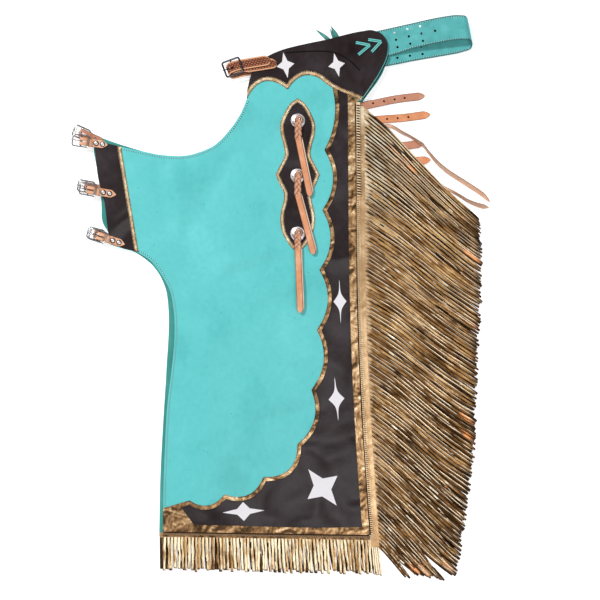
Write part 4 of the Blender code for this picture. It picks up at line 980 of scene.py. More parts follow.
GOLD_PIPING = gold_leather(
    "gold_piping", 0.25, 90.0, relief=0.7, pucker_shading=0.15, lift=0.20, rim=0.95, cloudy=0.9,
)
GOLD_HEM = gold_leather("gold_hem", 0.3, 70.0, relief=0.6, pucker_shading=0.4, lift=-0.16, cloudy=0.9)
GOLD_STRIP = gold_leather(
    "gold_strip", 0.12, 30.0, dark=(0.22, 0.13, 0.065), pucker_shading=0.08, lift=0.10, cloudy=0.5,
    low=0.08, high=0.26,
)
STRANDS = strand_leather("gold_strands", 0.02)
HEM_STRANDS = strand_leather("gold_hem_strands", 0.38, 0.95, -90.0, 3.0)
# A darker copy with little edge highlight: painted shade for the strands that lie under the upper
# leg's.
SHADED_UNDER_STRANDS = strand_leather("gold_shaded_under_strands", -0.25, 0.1)
# Name, three tones, flesh side, where the burnished edge begins.
(
    TEAL_BELT, TEAL_LACE, LACE_BACK, TAN, TAN_CHAPE, TAN_BRAID, TAN_TAIL, TAIL_EDGE, TAN_PALE,
    TAN_FLESH, FLESH,
) = (strap_leather(*row) for row in (
    (
        "turquoise_belt", (0.066, 0.36, 0.355), (0.086, 0.43, 0.425), (0.115, 0.50, 0.49),
        False, 0.89,
    ),
    ("turquoise_lace", (0.10, 0.50, 0.47), (0.15, 0.60, 0.56), (0.22, 0.70, 0.66), False, 0.8),
    (
        "turquoise_lace_back", (0.035, 0.22, 0.19), (0.055, 0.28, 0.24), (0.12, 0.42, 0.37),
        False, 0.8,
    ),
    ("tan_grain", (0.64, 0.235, 0.095), (0.74, 0.29, 0.13), (0.82, 0.38, 0.20), False, 0.88),
    ("tan_chape", (0.66, 0.31, 0.16), (0.78, 0.41, 0.24), (0.86, 0.54, 0.36)),
    ("tan_braid", (0.50, 0.20, 0.10), (0.70, 0.33, 0.19), (0.86, 0.50, 0.32), False, 0.72),
    ("tan_tail", (0.62, 0.24, 0.10), (0.74, 0.305, 0.145), (0.84, 0.42, 0.24), False, 0.86),
    ("tan_tail_under", (0.72, 0.50, 0.36), (0.80, 0.58, 0.43), (0.86, 0.66, 0.52), True),
    ("tan_pale", (0.46, 0.20, 0.12), (0.55, 0.245, 0.15), (0.63, 0.31, 0.20), True, 0.88),
    ("tan_flesh", (0.66, 0.38, 0.24), (0.76, 0.46, 0.31), (0.84, 0.54, 0.38), True),
    ("foil_flesh", (0.52, 0.19, 0.055), (0.72, 0.28, 0.085), (0.85, 0.38, 0.14), True),
))
TOOLED = tooled_leather("tooled_grain")
NICKEL = metal(
    "nickel_plate", (0.84, 0.83, 0.84), 0.14, (0.55, 0.54, 0.56), (0.02,) * 3, 0.13, 0.28,
)
SILVER = metal("concho_silver", (0.80, 0.74, 0.74), 0.30, (0.52, 0.47, 0.48), gentle=0.16)
GUNMETAL = metal("gunmetal_plate", (0.13, 0.13, 0.155), 0.22, (0.04, 0.04, 0.045), gentle=0.2)
PALE_THREAD = thread("pale_thread", (0.42, 0.78, 0.76), (0.66, 0.94, 0.92))
BROWN_THREAD = thread("brown_thread", (0.035, 0.020, 0.012), (0.11, 0.065, 0.038))
CREAM_THREAD = thread("cream_thread", (0.80, 0.60, 0.37), (1.0, 0.86, 0.62))
TAN_THREAD = thread("tan_thread", (0.34, 0.21, 0.11), (0.58, 0.40, 0.24))
# Dark thread, also used for painted shade between stitches and in the seam grooves.
DARK_THREAD_AND_SHADE = thread("dark_thread_and_shade", (0.018, 0.007, 0.003), (0.045, 0.020, 0.009))
BLACK_THREAD = thread("black_thread", (0.010, 0.008, 0.010), (0.04, 0.035, 0.04))
# Painted shade of the stitch holes.
TEAL_HOLE_SHADE = thread("turquoise_hole_shade", (0.006, 0.08, 0.08), (0.014, 0.13, 0.13))
# Painted shade in holes, in the seat under each rivet head and in the ring round each eyelet.
RECESS_SHADE = thread("recess_shade", (0.008, 0.003, 0.002), (0.016, 0.006, 0.004))
SEAM_SHADE = thread("seam_shade", (0.002, 0.002, 0.002), (0.004, 0.003, 0.003))


# ------------------------------------------------------------ cut leather

def rim_of(node):
    """Corners of a flat-cut solid's upper rim, anticlockwise, as pattern places."""
    bm = bmesh.new()
    bm.from_mesh(NODES[node].data)
    bmesh.ops.remove_doubles(bm, verts=bm.verts[:], dist=1e-6)
    bm.normal_update()
    following = {}
    for face in bm.faces:
        if face.normal.z < 0.5:
            continue
        for loop in face.loops:
            beside = [other for other in loop.edge.link_faces if other is not face]
            if beside and beside[0].normal.z < 0.5:
                following[loop.vert] = loop.link_loop_next.vert
    ring = [next(iter(following))]
    while following[ring[-1]] is not ring[0]:
        ring.append(following[ring[-1]])
    points = [vert.co / MM + MIDDLE for vert in ring]
    bm.free()
    return points


def neighbours(points):
    """Each point of a ring with the one before it and the one after it."""
    return zip(points[-1:] + points[:-1], points, points[1:] + points[:1])


def corners_of(points):
    """The points of a ring at which it turns."""
    kept = []
    for behind, point, ahead in neighbours(points):
        before = (point - behind).xy.normalized()
        after = (ahead - point).xy.normalized()
        if abs(before.x * after.y - before.y * after.x) > 0.012 or before.dot(after) < 0:
            kept.append(point)
    return kept


def eased_outline(points):
    """A ring whose gentle turns are smooth and whose sharp corners stay."""
    places = [point.xy for point in points]
    tangents = []
    for behind, place, ahead in neighbours(places):
        before, after = place - behind, ahead - place
        turn = before.angle(after) if before.length and after.length else 0.0
        blend = before.normalized() * after.length + after.normalized() * before.length
        tangents.append(None if turn > SHARP_TURN else blend / (before.length + after.length))
    made = []
    for index, place in enumerate(places):
        following = (index + 1) % len(places)
        run = places[following] - place
        leave = (tangents[index] or run.normalized()) * run.length
        arrive = (tangents[following] or run.normalized()) * run.length
        steps = max(1, round(run.length / OUTLINE_STEP))
        for step in range(steps):
            made.append(hermite(place, places[following], leave, arrive, step / steps))
    return made


def add_sheet(bm, surface, bottom, thickness, cell=8.0):
    """Cut flat faces to a grid, drape them on a surface and give them a thickness."""
    for direction in (Vector((1, 0, 0)), Vector((0, 1, 0))):
        reach = [vert.co.dot(direction) / cell for vert in bm.verts]
        for line in range(math.ceil(min(reach)), math.floor(max(reach)) + 1):
            bmesh.ops.bisect_plane(
                bm, geom=bm.verts[:] + bm.edges[:] + bm.faces[:], dist=0.01,
                plane_co=direction * (line * cell), plane_no=direction,
            )
    for vert in bm.verts:
        vert.co.z = surface(vert.co.x, vert.co.y) + bottom
    raised = bmesh.ops.extrude_face_region(bm, geom=bm.faces[:], use_keep_orig=True)
    for item in raised["geom"]:
        if isinstance(item, bmesh.types.BMVert):
            item.co.z += thickness


def cut_leather(name, node, surface, solid_surface, thickness, finishes, slot, cell=8.0, edge=0.3):
    """A sheet of leather on its solid's form, cut to the solid's outline.

    finishes holds the materials of its face, its back and its cut edge. It hands over the
    piece, its outline and the height of its face over the surface.
    """
    rim = rim_of(node)
    lifts = sorted(point.z - on_grid(solid_surface, point.x, point.y) for point in rim)
    top = lifts[len(lifts) // 2]
    outline = eased_outline(corners_of(rim))
    bm = bmesh.new()
    rims = bm.verts.layers.float.new("rim")
    face = bm.faces.new([bm.verts.new((place.x, place.y, 0.0)) for place in outline])
    bmesh.ops.inset_region(
        bm, faces=[face], thickness=RIM_WIDTH, use_boundary=True, use_even_offset=True,
    )
    for vert in bm.verts:
        vert[rims] = 1.0 if vert.is_boundary else 0.0
    add_sheet(bm, surface, top - thickness, thickness, cell)
    bmesh.ops.recalc_face_normals(bm, faces=bm.faces[:])
    for face in bm.faces:
        face.material_index = 0 if face.normal.z > 0.4 else 1 if face.normal.z < -0.4 else 2
    made = to_object(bm, name, finishes)
    apply_modifier(
        made, "BEVEL", width=edge * MM, segments=2, limit_method="ANGLE",
        angle_limit=math.radians(50.0),
    )
    return settle(made, slot, node, smooth=40), outline, top


def declare_sheet(piece, outline):
    """Work out the size of a leather sheet's flat cut, without keeping it."""
    xs = [place.x for place in outline]
    ys = [place.y for place in outline]
    rings = neighbours(outline)
    area = abs(sum(before.x * place.y - before.y * place.x for before, place, _ in rings)) / 2
    width = max(xs) - min(xs)
    length = max(ys) - min(ys)
    if area < 0.32 * width * length:
        length = area / (0.9 * width)


def on_surface(run, height):
    """Lift a flat run of places onto a surface."""
    return [Vector((place.x, place.y, height(place.x, place.y))) for place in run]


def run_along(outline, start, end, inward, height):
    """Part of a ring, from near start to near end, moved inwards and lifted."""
    count = len(outline)
    first, last = (
        min(range(count), key=lambda index: (outline[index] - Vector(place)).length)
        for place in (start, end)
    )
    if last <= first:
        last += count
    made = []
    for index in range(first, last + 1):
        along = (outline[(index + 1) % count] - outline[(index - 1) % count]).normalized()
        made.append(outline[index % count] + left_of(along) * inward)
    return on_surface(made, height)


@cache
def stitch_shape():
    """Vertices and faces of one stitch, one unit long and one unit thick."""
    select()
    bpy.ops.mesh.primitive_uv_sphere_add(segments=6, ring_count=5, radius=0.5)
    ball = bpy.context.object
    ball.data.transform(Matrix.Rotation(math.pi / 2, 4, "Y"))
    verts = np.array([vert.co for vert in ball.data.vertices])
    faces = [tuple(face.vertices) for face in ball.data.polygons]
    bpy.data.objects.remove(ball, do_unlink=True)
    return verts, faces


def sew(name, runs, pitch, length, width, material, slot, turn=0.0, late=0.0):
    """Rows of stitches along runs of places.

    turn swings each stitch off its row in degrees. The rows start late by a distance.
    """
    shape, faces = stitch_shape()
    turn = math.radians(turn)
    verts = []
    polygons = []
    for run in runs:
        if late:
            start = run[0] + (run[1] - run[0]).normalized() * late
            run = [start] + [place for place in run[1:] if (place - run[0]).length > late]
        for place, along in resample(run, pitch):
            heading = math.atan2(along.y, along.x) + turn
            slope = along.z * math.cos(turn) / max(math.hypot(along.x, along.y), 1e-6)
            cosine, sine = math.cos(heading), math.sin(heading)
            base = len(verts) * len(shape)
            local = shape * np.array((length, width, width * 0.8))
            made = np.empty_like(local)
            made[:, 0] = place.x + local[:, 0] * cosine - local[:, 1] * sine
            made[:, 1] = place.y + local[:, 0] * sine + local[:, 1] * cosine
            made[:, 2] = place.z + width * 0.12 + local[:, 2] + local[:, 0] * slope
            verts.append(made)
            polygons += [tuple(index + base for index in face) for face in faces]
    points = (np.concatenate(verts) - np.array(MIDDLE)) * MM
    mesh = bpy.data.meshes.new(name)
    mesh.from_pydata(points.tolist(), [], polygons)
    mesh.materials.append(material)
    mesh.polygons.foreach_set("use_smooth", [True] * len(mesh.polygons))
    return settle(link(name, mesh), slot)


def make_legs():
    """Both leg panels with the stitching along their open edges."""
    lower, outline, _ = cut_leather(
        "leg_under", "lower_leg", lower_surface, lower_surface, LEG,
        (TEAL_FLESH, TEAL, TEAL_EDGE), TURQUOISE_SLOT, cell=10.0,
    )
    declare_sheet(lower, outline)
    upper, outline, _ = cut_leather(
        "leg_over", "upper_leg", upper_surface, upper_form, LEG,
        (TEAL, TEAL_FLESH, TEAL_EDGE), TURQUOISE_SLOT,
    )
    face = upper_lift(LEG)
    runs = [
        run_along(outline, (-67.2, 396.0), (-320.0, 300.0), 4.2, face),
        run_along(outline, (-300.0, 93.0), (-235.5, -466.0), 4.2, face),
    ]
    seam = sew("edge_stitching", runs, 4.8, 2.8, 1.6, PALE_THREAD, TURQUOISE_SLOT)
    # Dark marks between the stitches: painted shade of their holes.
    sew("edge_hole_shade", runs, 4.8, 2.3, 1.9, TEAL_HOLE_SHADE, TURQUOISE_SLOT, late=2.4)
    declare_sheet(upper, outline)


def make_overlays():
    """Border, yoke, thigh patch, tab strip, stars and their sewing."""
    def lay(name, node, finish, slot, cell=8.0):
        made, outline, _ = cut_leather(
            name, node, upper_surface, upper_form, OVERLAY, (finish,) * 3, slot, cell
        )
        declare_sheet(made, outline)
        return outline

    border = lay("border_backing", "border_gold", GOLD, GOLD_SLOT)
    face = lay("border_face", "border_black", BLACK, BLACK_SLOT)
    yoke = lay("yoke_backing", "yoke_gold", GOLD_PIPING, GOLD_SLOT)
    yoke_face = lay("yoke_face", "yoke_black", BLACK, BLACK_SLOT)
    patch = lay("patch_backing", "patch_gold", GOLD_PIPING, GOLD_SLOT)
    patch_face = lay("patch_face", "patch_black", BLACK, BLACK_SLOT)
    lay("tab_face", "tab_black", BLACK, BLACK_SLOT)
    tab = lay("tab_edging", "tab_gold", GOLD_PIPING, GOLD_SLOT)
    for star in ("yoke_front", "yoke_back", "side_top", "side_bottom", "corner", "hem"):
        lay(f"white_{star}", f"star_{star}", WHITE, "white_leather", 5.0)

    first = upper_lift(FIRST_LAYER + OVERLAY)
    second = upper_lift(SECOND_LAYER + OVERLAY)
    yoke_ends = ((-66.0, 404.0), (158.0, 400.0))
    runs = [
        run_along(border, (104.0, 417.0), (-182.0, -408.0), 1.0, first),
        run_along(yoke, (-66.0, 396.5), (158.0, 392.5), 1.0, first),
        run_along(patch, patch[0], patch[-1], 0.9, first),
        run_along(tab, tab[0], tab[-1], 0.9, first),
        run_along(yoke_face, *yoke_ends, -1.1, first),
        run_along(patch_face, patch_face[0], patch_face[-1], -1.0, first),
    ]
    sew("edging_stitching", runs, 3.4, 3.0, 1.4, DARK_THREAD_AND_SHADE, GOLD_SLOT)
    for name, inset, layer, radius, finish in (
        ("yoke_edge_line", -1.3, 0.6, 0.85, TEAL_LACE),
        ("yoke_edge_groove", -3.3, 0.5, 0.9, SEAM_SHADE),
    ):
        side = run_along(yoke_face, (160.0, 398.0), (218.0, 480.0), inset, upper_lift(LEG + layer))
        make_line(name, side, radius, finish, TURQUOISE_SLOT)
    runs = [
        run_along(face, (108.0, 400.0), (-180.0, -412.0), 1.6, second),
        run_along(yoke_face, *yoke_ends, 1.6, second),
        run_along(patch_face, patch_face[0], patch_face[-1], 1.6, second),
    ]
    sew("overlay_stitching", runs, 3.0, 2.0, 0.75, BLACK_THREAD, BLACK_SLOT)


# ----------------------------------------------------------------- fringe

def table_value(table, key):
    """Read a two-column table, straight between its rows."""
    if key <= table[0][0]:
        return table[0][1]
    for (low, low_value), (high, high_value) in zip(table, table[1:]):
        if key <= high:
            return low_value + (high_value - low_value) * (key - low) / (high - low)
    return table[-1][1]


def seam_x(y):
    """The side seam's x at a height along the leg."""
    return table_value([(row_y, row_x) for row_x, row_y in SIDE_SEAM], y)


def hem_y(x, hem):
    """The hem's y at a place along it."""
    left, right = hem
    return left[1] + (right[1] - left[1]) * (x - left[0]) / (right[0] - left[0])


def flesh_side_and_shade(place):
    """1 where a strand is twisted to its undyed side, below 0 where it lies in its own shade."""
    if any(line_distance(place.x, place.y, *ends) < 2.9 for ends in TWISTS):
        return 1.0
    for *ends, half_width in SHADED:
        away = line_distance(place.x, place.y, *ends)
        if away < half_width:
            return -0.95 * (1.0 - smooth_step((away / half_width - 0.6) / 0.4))
    return 0.0


def parted(place, forward, across):
    """How far a strand is pushed aside where the fringe parts near its ends."""
    pushed = 0.0
    for x, y, depth, half in PARTINGS:
        offset = Vector((place.x - x, place.y - y, 0.0))
        near = 1.0 + offset.dot(forward) / depth
        beside = offset.dot(across)
        if near > 0.0 and abs(beside) < 30.0:
            push = half * min(near, 1.3) * math.exp(-(beside / 13.0) ** 2)
            pushed += push if beside > 0 else -push
    return pushed


def add_strand(bm, rows, thickness, finish=0):
    """One cut strand through rows of middle, half-width vector and roll."""
    bm.loops.layers.uv.verify()
    floats = bm.verts.layers.float
    tones = floats.get("tone") or floats.new("tone")
    # The flesh layer marks the flesh side with 1, and painted shade with values below 0.
    flesh = floats.get("flesh") or floats.new("flesh")
    tone = chance.random()
    middles = [row[0] for row in rows]
    rings = []
    for index, (middle, across, roll) in enumerate(rows):
        tangent = ahead_of(middles, index)
        half = Matrix.Rotation(roll, 3, tangent) @ across
        normal = half.cross(tangent).normalized()
        if normal.z < 0 and abs(roll) < math.pi / 2:
            normal.negate()
        crown = normal * thickness
        ring = []
        for side, height in ((-1, 0), (1, 0), (1, 0.62), (0.55, 1.0), (-0.55, 1.0), (-1, 0.62)):
            vert = bm.verts.new(middle + half * side + crown * height)
            vert[tones] = tone
            vert[flesh] = flesh_side_and_shade(middle)
            ring.append(vert)
        rings.append(ring)
    edges = (-1.0, 1.0, 0.95, 0.5, -0.5, -0.95)
    last = len(rows) - 1
    for index, (ring, following) in enumerate(zip(rings, rings[1:])):
        for side in range(len(edges)):
            other = (side + 1) % len(edges)
            add_face(
                bm, (ring[side], ring[other], following[other], following[side]),
                corner_values(index / last, (index + 1) / last, edges[side], edges[other]),
                finish if side else 1,
            )
    for ring, place in ((rings[0], 0.0), (rings[-1], 1.0)):
        add_face(bm, ring, [(place, 0.0)] * len(ring))


def sway_noise(along, number, seed):
    """A soft value from -1 to 1 that neighbouring strands share in part."""
    shared = noise.noise(Vector((along * 2.2, number * 0.16, seed)))
    own = noise.noise(Vector((along * 3.6, number * 1.9, seed + 7.0)))
    return 1.5 * (0.6 * shared + 0.4 * own)


def side_strands(bm, fringe):
    """Long strands that fall away from the side seam."""
    pitch = (SIDE_TOP - SIDE_BOTTOM) / fringe.strands
    lively = fringe.lively
    for number in range(fringe.strands):
        root_y = SIDE_TOP - pitch * (number + 0.5)
        root_x = seam_x(root_y) + STRIP_WIDTH - 2.0
        fall = math.radians(table_value(STRAND_FALL, root_y))
        fall += math.radians(1.2) * sway_noise(0.0, number, 31.0) * lively
        across = Vector((math.sin(fall), math.cos(fall), 0.0))
        forward = Vector((math.cos(fall), -math.sin(fall), 0.0))
        reach = 0.0
        while reach < 430.0:
            x = root_x + reach * math.cos(fall)
            y = root_y - reach * math.sin(fall)
            if x > table_value(STRAND_REACH, y) or y < STRAND_FLOOR:
                break
            reach += 1.5
        reach += chance.uniform(-7.0, 2.5)
        turned = number in TURNED_STRANDS and lively
        steps = max(6, round(fringe.stations * reach / 260.0))
        beside = pitch * math.cos(fall)
        below, level = (table_value(STRAND_FALL, y) for y in (root_y - pitch, root_y))
        fan = math.radians(below - level)
        bend = STRAND_SWAY * reach / 260.0
        rows = []
        for step in range(steps + 1):
            t = step / steps
            ease_in = smooth_step(t * 4.0)
            spread = (0.50 - 0.03 * lively * ease_in) * (beside + fan * reach * t)
            sway = bend * math.sin(math.tau * t) * across.y
            sway += 2.6 * sway_noise(t, number, 3.0) * ease_in * lively * min(reach / 200.0, 1.0)
            middle = Vector((root_x, root_y, 0.0)) + forward * (reach * t) + across * sway
            middle += across * parted(middle, forward, across)
            roll = ease_in * lively * (0.20 + 0.52 * sway_noise(t * 1.6, number, 11.0))
            height = fringe.surface(middle.x, middle.y) + fringe.base
            height += fringe.rise * (1 - smooth_step(t * 2.5)) + abs(math.sin(roll)) * spread
            height += 1.1 * lively * ease_in * (1 + sway_noise(t * 1.4, number, 19.0))
            if turned:
                over = smooth_step((t - 0.74) / 0.14)
                roll += math.pi * over * 0.97
                height += 2.2 * fringe.thickness * over
            middle.z = height
            width = spread * (1.0 - 0.10 * lively * t) * (0.72 if t > 0.985 else 1.0)
            rows.append((middle, across * width, roll))
        add_strand(bm, rows, fringe.thickness)


def end_strands(bm, fringe):
    """Strands cut from the lower end of the uncut strip."""
    pitch = (STRIP_WIDTH - 2 * GAP) / END_STRANDS
    for number in range(END_STRANDS):
        x = seam_x(SIDE_BOTTOM) + STRIP_WIDTH - GAP - pitch * (number + 0.5)
        length = SIDE_BOTTOM - STRAND_FLOOR - chance.uniform(0.0, 4.0)
        rows = []
        for step in range(11):
            t = step / 10
            place = Vector((
                x + (END_LEAN - 0.5 * number) * t, SIDE_BOTTOM + 2.0 - (length + 2.0) * t, 0.0,
            ))
            place.x += 0.7 * sway_noise(t, number, 61.0) * t
            roll = 0.6 * t * sway_noise(t, number * 2.3, 67.0)
            height = fringe.surface(place.x, place.y) + fringe.rise * (1 - smooth_step(t * 1.5))
            place.z = height + abs(math.sin(roll)) * 1.6
            rows.append((place, Vector((pitch * 0.44 * (1 - 0.1 * t), 0.0, 0.0)), roll))
        add_strand(bm, rows, fringe.thickness, 3)


def hem_strands(bm, fringe):
    """Short strands that hang from the hem."""
    wide = fringe.right - fringe.left
    pitch = wide / fringe.hem_strands
    lively = fringe.lively
    for number in range(fringe.hem_strands):
        x = fringe.left + pitch * (number + 0.5)
        top = hem_y(x, fringe.hem) - HEM_DROP + 2.0
        length = HEM_LENGTH + 2.0 + chance.uniform(-5.0, 3.0)
        slant = chance.uniform(-2.2, 2.2) * lively + fringe.lean * (x - fringe.left) / wide
        half = pitch * (0.43 if lively else 0.42)
        rows = []
        for step in range(13):
            t = step / 12
            ease_in = smooth_step(t * 3.0)
            middle = Vector((x + slant * t, top - length * t, 0.0))
            middle.x += 1.2 * sway_noise(t, number, 43.0) * ease_in * lively
            roll = ease_in * lively * 0.75 * sway_noise(t * 1.2, number * 1.7, 47.0)
            height = fringe.surface(middle.x, middle.y) + fringe.base
            height += fringe.rise * (1 - smooth_step(t * 1.5)) + abs(math.sin(roll)) * half
            height += 0.7 * lively * ease_in * (1 + sway_noise(t, number, 53.0))
            middle.z = height
            rows.append((middle, Vector((half * (1 - 0.14 * t), 0.0, 0.0)), roll))
        add_strand(bm, rows, fringe.thickness)


def make_fringes():
    """Side and hem fringe of both legs, each with its uncut strip."""
    def make_fringe(name, node, fringe, outline, strips, strands, strip=GOLD_STRIP):
        bm = bmesh.new()
        bm.faces.new([bm.verts.new((x, y, 0.0)) for x, y in outline])
        add_sheet(bm, fringe.surface, fringe.layer, fringe.strip)
        for face in bm.faces:
            face.material_index = 2
        for add in strips:
            add(bm, fringe)
        made = to_object(bm, name, (strands, FLESH, strip, HEM_STRANDS))
        settle(made, GOLD_SLOT, node, smooth=48)

    def hem_outline(fringe):
        ends = [(x, hem_y(x, fringe.hem)) for x in (fringe.left, fringe.right)]
        return [(x, y - HEM_DROP) for x, y in ends] + [(x, y - GAP) for x, y in reversed(ends)]

    ys = [SIDE_BOTTOM + 0.5] + [y for _, y in SIDE_SEAM[:-1]] + [SIDE_TOP - 0.5]
    side = [(seam_x(y) + STRIP_WIDTH, y) for y in reversed(ys)] + [(seam_x(y) + GAP, y) for y in ys]
    under, over = LOWER_FRINGE, UPPER_FRINGE
    make_fringe("fringe_under", "lower_side_fringe", under, side, (side_strands,), SHADED_UNDER_STRANDS)
    make_fringe(
        "hem_fringe_under", "lower_hem_fringe", under, hem_outline(under), (hem_strands,),
        SHADED_UNDER_STRANDS,
    )
    make_fringe("fringe_over", "side_fringe", over, side, (side_strands, end_strands), STRANDS)
    make_fringe(
        "hem_fringe_over", "hem_fringe", over, hem_outline(over), (hem_strands,), HEM_STRANDS,
        GOLD_HEM,
    )


def make_seams():
    """The rolled welt beside the side seam and the lines of its sewing."""
    _, _, top = cut_leather(
        "side_roll", "side_welt", upper_surface, upper_form, 2.6, (GOLD_STRIP,) * 3, GOLD_SLOT,
        4.0, 0.9,
    )
    crest = upper_lift(top)
    channel = upper_lift(FIRST_LAYER + OVERLAY)
    strip = upper_lift(STRIP_LAYER + STRIP)
    low, high = SIDE_SEAM[0][1], SIDE_SEAM[-1][1]
    ys = [low + 2.0 + (high - low - 4.0) * step / 120 for step in range(121)]
    xs = [-234.0 + 412.0 * step / 80 for step in range(81)]

    def beside(shift, height, start=low, end=high):
        run = [Vector((seam_x(y) + shift, y)) for y in ys if start <= y <= end]
        return on_surface(run, height)

    def below(drop, height):
        return on_surface([Vector((x, hem_y(x, HEM) - drop)) for x in xs], height)

    def sew_rows(*rows):
        for name, run, pitch, length, width, finish, turn, late in rows:
            sew(name, [run], pitch, length, width, finish, GOLD_SLOT, turn, late)

    wide, narrow = beside(4.2, crest, 196.0), beside(2.3, crest, low, 194.0)
    sew_rows(
        ("welt_stitching", wide, 5.2, 8.4, 2.3, CREAM_THREAD, 80, 0.0),
        ("welt_shadows", wide, 5.2, 8.0, 2.5, DARK_THREAD_AND_SHADE, 80, 2.6),
        ("welt_stitching_low", narrow, 4.0, 4.4, 2.0, CREAM_THREAD, 80, 0.0),
        ("welt_shadows_low", narrow, 4.0, 4.2, 1.6, DARK_THREAD_AND_SHADE, 80, 2.0),
        ("welt_whipping", beside(5.4, crest, low, -60.0), 4.3, 5.0, 0.8, BROWN_THREAD, 84, 0.0),
    )
    # The dark seam lines are painted shade in the seams' grooves.
    make_line("side_seam_line", beside(-0.6, channel), 1.6, DARK_THREAD_AND_SHADE, GOLD_SLOT, 0.4)
    make_line("hem_seam_line", below(-0.9, channel), 1.4, DARK_THREAD_AND_SHADE, GOLD_SLOT, 0.45)
    hem = below(2.2, strip)
    sew_rows(
        ("hem_stitching", hem, 3.4, 5.2, 1.5, TAN_THREAD, 55, 0.0),
        ("hem_shadows", hem, 3.4, 5.0, 1.3, DARK_THREAD_AND_SHADE, 55, 1.7),
        ("hem_whipping", below(5.2, strip), 3.4, 3.6, 0.9, BROWN_THREAD, 70, 0.0),
    )


# ---------------------------------------------------------------- buckles

def rounded_ring(length, width, corner, height):
    """Middle line of a rectangle with round corners."""
    points = []
    for quarter, (right, up) in enumerate(((1, 1), (-1, 1), (-1, -1), (1, -1))):
        for step in range(7):
            angle = math.radians(90.0 * quarter + 15.0 * step)
            points.append(Vector((
                right * (length / 2 - corner) + corner * math.cos(angle),
                up * (width / 2 - corner) + corner * math.sin(angle), height,
            )))
    return points


def make_buckle_frame(name, node, length, width, wire, drop, place, finish, slot, corner=3.4):
    """A buckle's rounded frame with a middle bar that dips below it."""
    bm = bmesh.new()
    ring = rounded_ring(length - 2 * wire, width - 2 * wire, wire * corner, drop)
    add_tube(bm, ring, [wire] * len(ring), closed=True)
    side = width / 2 - wire
    bar = [
        (Vector((0, y, z)),) for y, z in (
            (-side, drop), (-side + 0.1, drop * 0.45), (-side + wire * 1.2, 0),
            (side - wire * 1.2, 0), (side - 0.1, drop * 0.45), (side, drop),
        )
    ]
    bar = [row[0] for row in ease(bar, 1.5)]
    add_tube(bm, bar, [wire * 0.96] * len(bar), upright=Vector((1, 0, 0)))
    made = to_object(bm, name, (finish,), place)
    settle(made, slot, node, smooth=60, painted_flank_shade=True)


def make_prong(name, node, reach, wire, radius, drop, place, finish, slot, body="chaps"):
    """A prong that wraps round the bar and rests on the frame's far end."""
    eye = wire + PLAY + radius
    rest = drop + wire + GAP / 2 + radius
    rows = []
    for step in range(7):
        angle = math.radians(-140.0 + 230.0 * step / 6)
        rows.append((eye * math.cos(angle), eye * math.sin(angle), radius))
    rows += [
        (-reach * 0.35, eye + (rest - eye) * 0.42, radius), (-reach + wire, rest, radius * 0.9),
        (-reach - wire * 1.3, rest + 0.1, radius * 0.5),
    ]
    rows = ease([(Vector((x, 0.0, z)), thick) for x, z, thick in rows], 1.4)
    made = make(
        add_tube, name, finish, [row[0] for row in rows], [row[1] for row in rows], place=place,
        sides=10, upright=Vector((0, 1, 0)),
    )
    settle(made, slot, node, body=body, smooth=50, painted_flank_shade=True)


def turned(name, profile, place, finish, steps):
    """A round piece spun from a profile of radius and height."""
    mesh = bpy.data.meshes.new(name)
    mesh.from_pydata(
        [(radius, 0.0, height) for radius, height in profile],
        [(index, index + 1) for index in range(len(profile) - 1)], [],
    )
    made = link(name, mesh)
    select(made)
    bpy.ops.object.mode_set(mode="EDIT")
    bpy.ops.mesh.select_all(action="SELECT")
    bpy.ops.mesh.spin(steps=steps, angle=math.tau, center=(0, 0, 0), axis=(0, 0, 1))
    bpy.ops.mesh.select_all(action="SELECT")
    bpy.ops.mesh.remove_doubles(threshold=0.001)
    bpy.ops.mesh.normals_make_consistent(inside=False)
    bpy.ops.object.mode_set(mode="OBJECT")
    mesh.transform(SHRINK @ SHIFT @ place)
    mesh.materials.append(finish)
    return made


def fold_rows(middle, radius, width, first, last, steps):
    """Rows of a strap that turns back on itself, from under the bar to over it."""
    rows = []
    for step in range(steps + 1):
        angle = -math.pi / 2 - math.pi * step / steps
        shift = first + (last - first) * step / steps
        rows.append((middle + radius * math.cos(angle), radius * math.sin(angle), width, shift))
    return rows


def make_folded(name, node, profile, thickness, finish, slot, place, window, **shape):
    """A folded strap from rows of distance along, height, width and shift aside.

    window holds the size and the middle of the slot that the prong passes through.
    """
    rows = [
        (Vector((along, aside, height)), Vector((0.0, width / 2, 0.0)))
        for along, height, width, aside in profile
    ]
    strap = make(add_strap, name, finish, rows, thickness, place=place, **shape)
    punch(strap, [slot_cutter(place, *window)])
    settle(strap, slot, node, smooth=40)


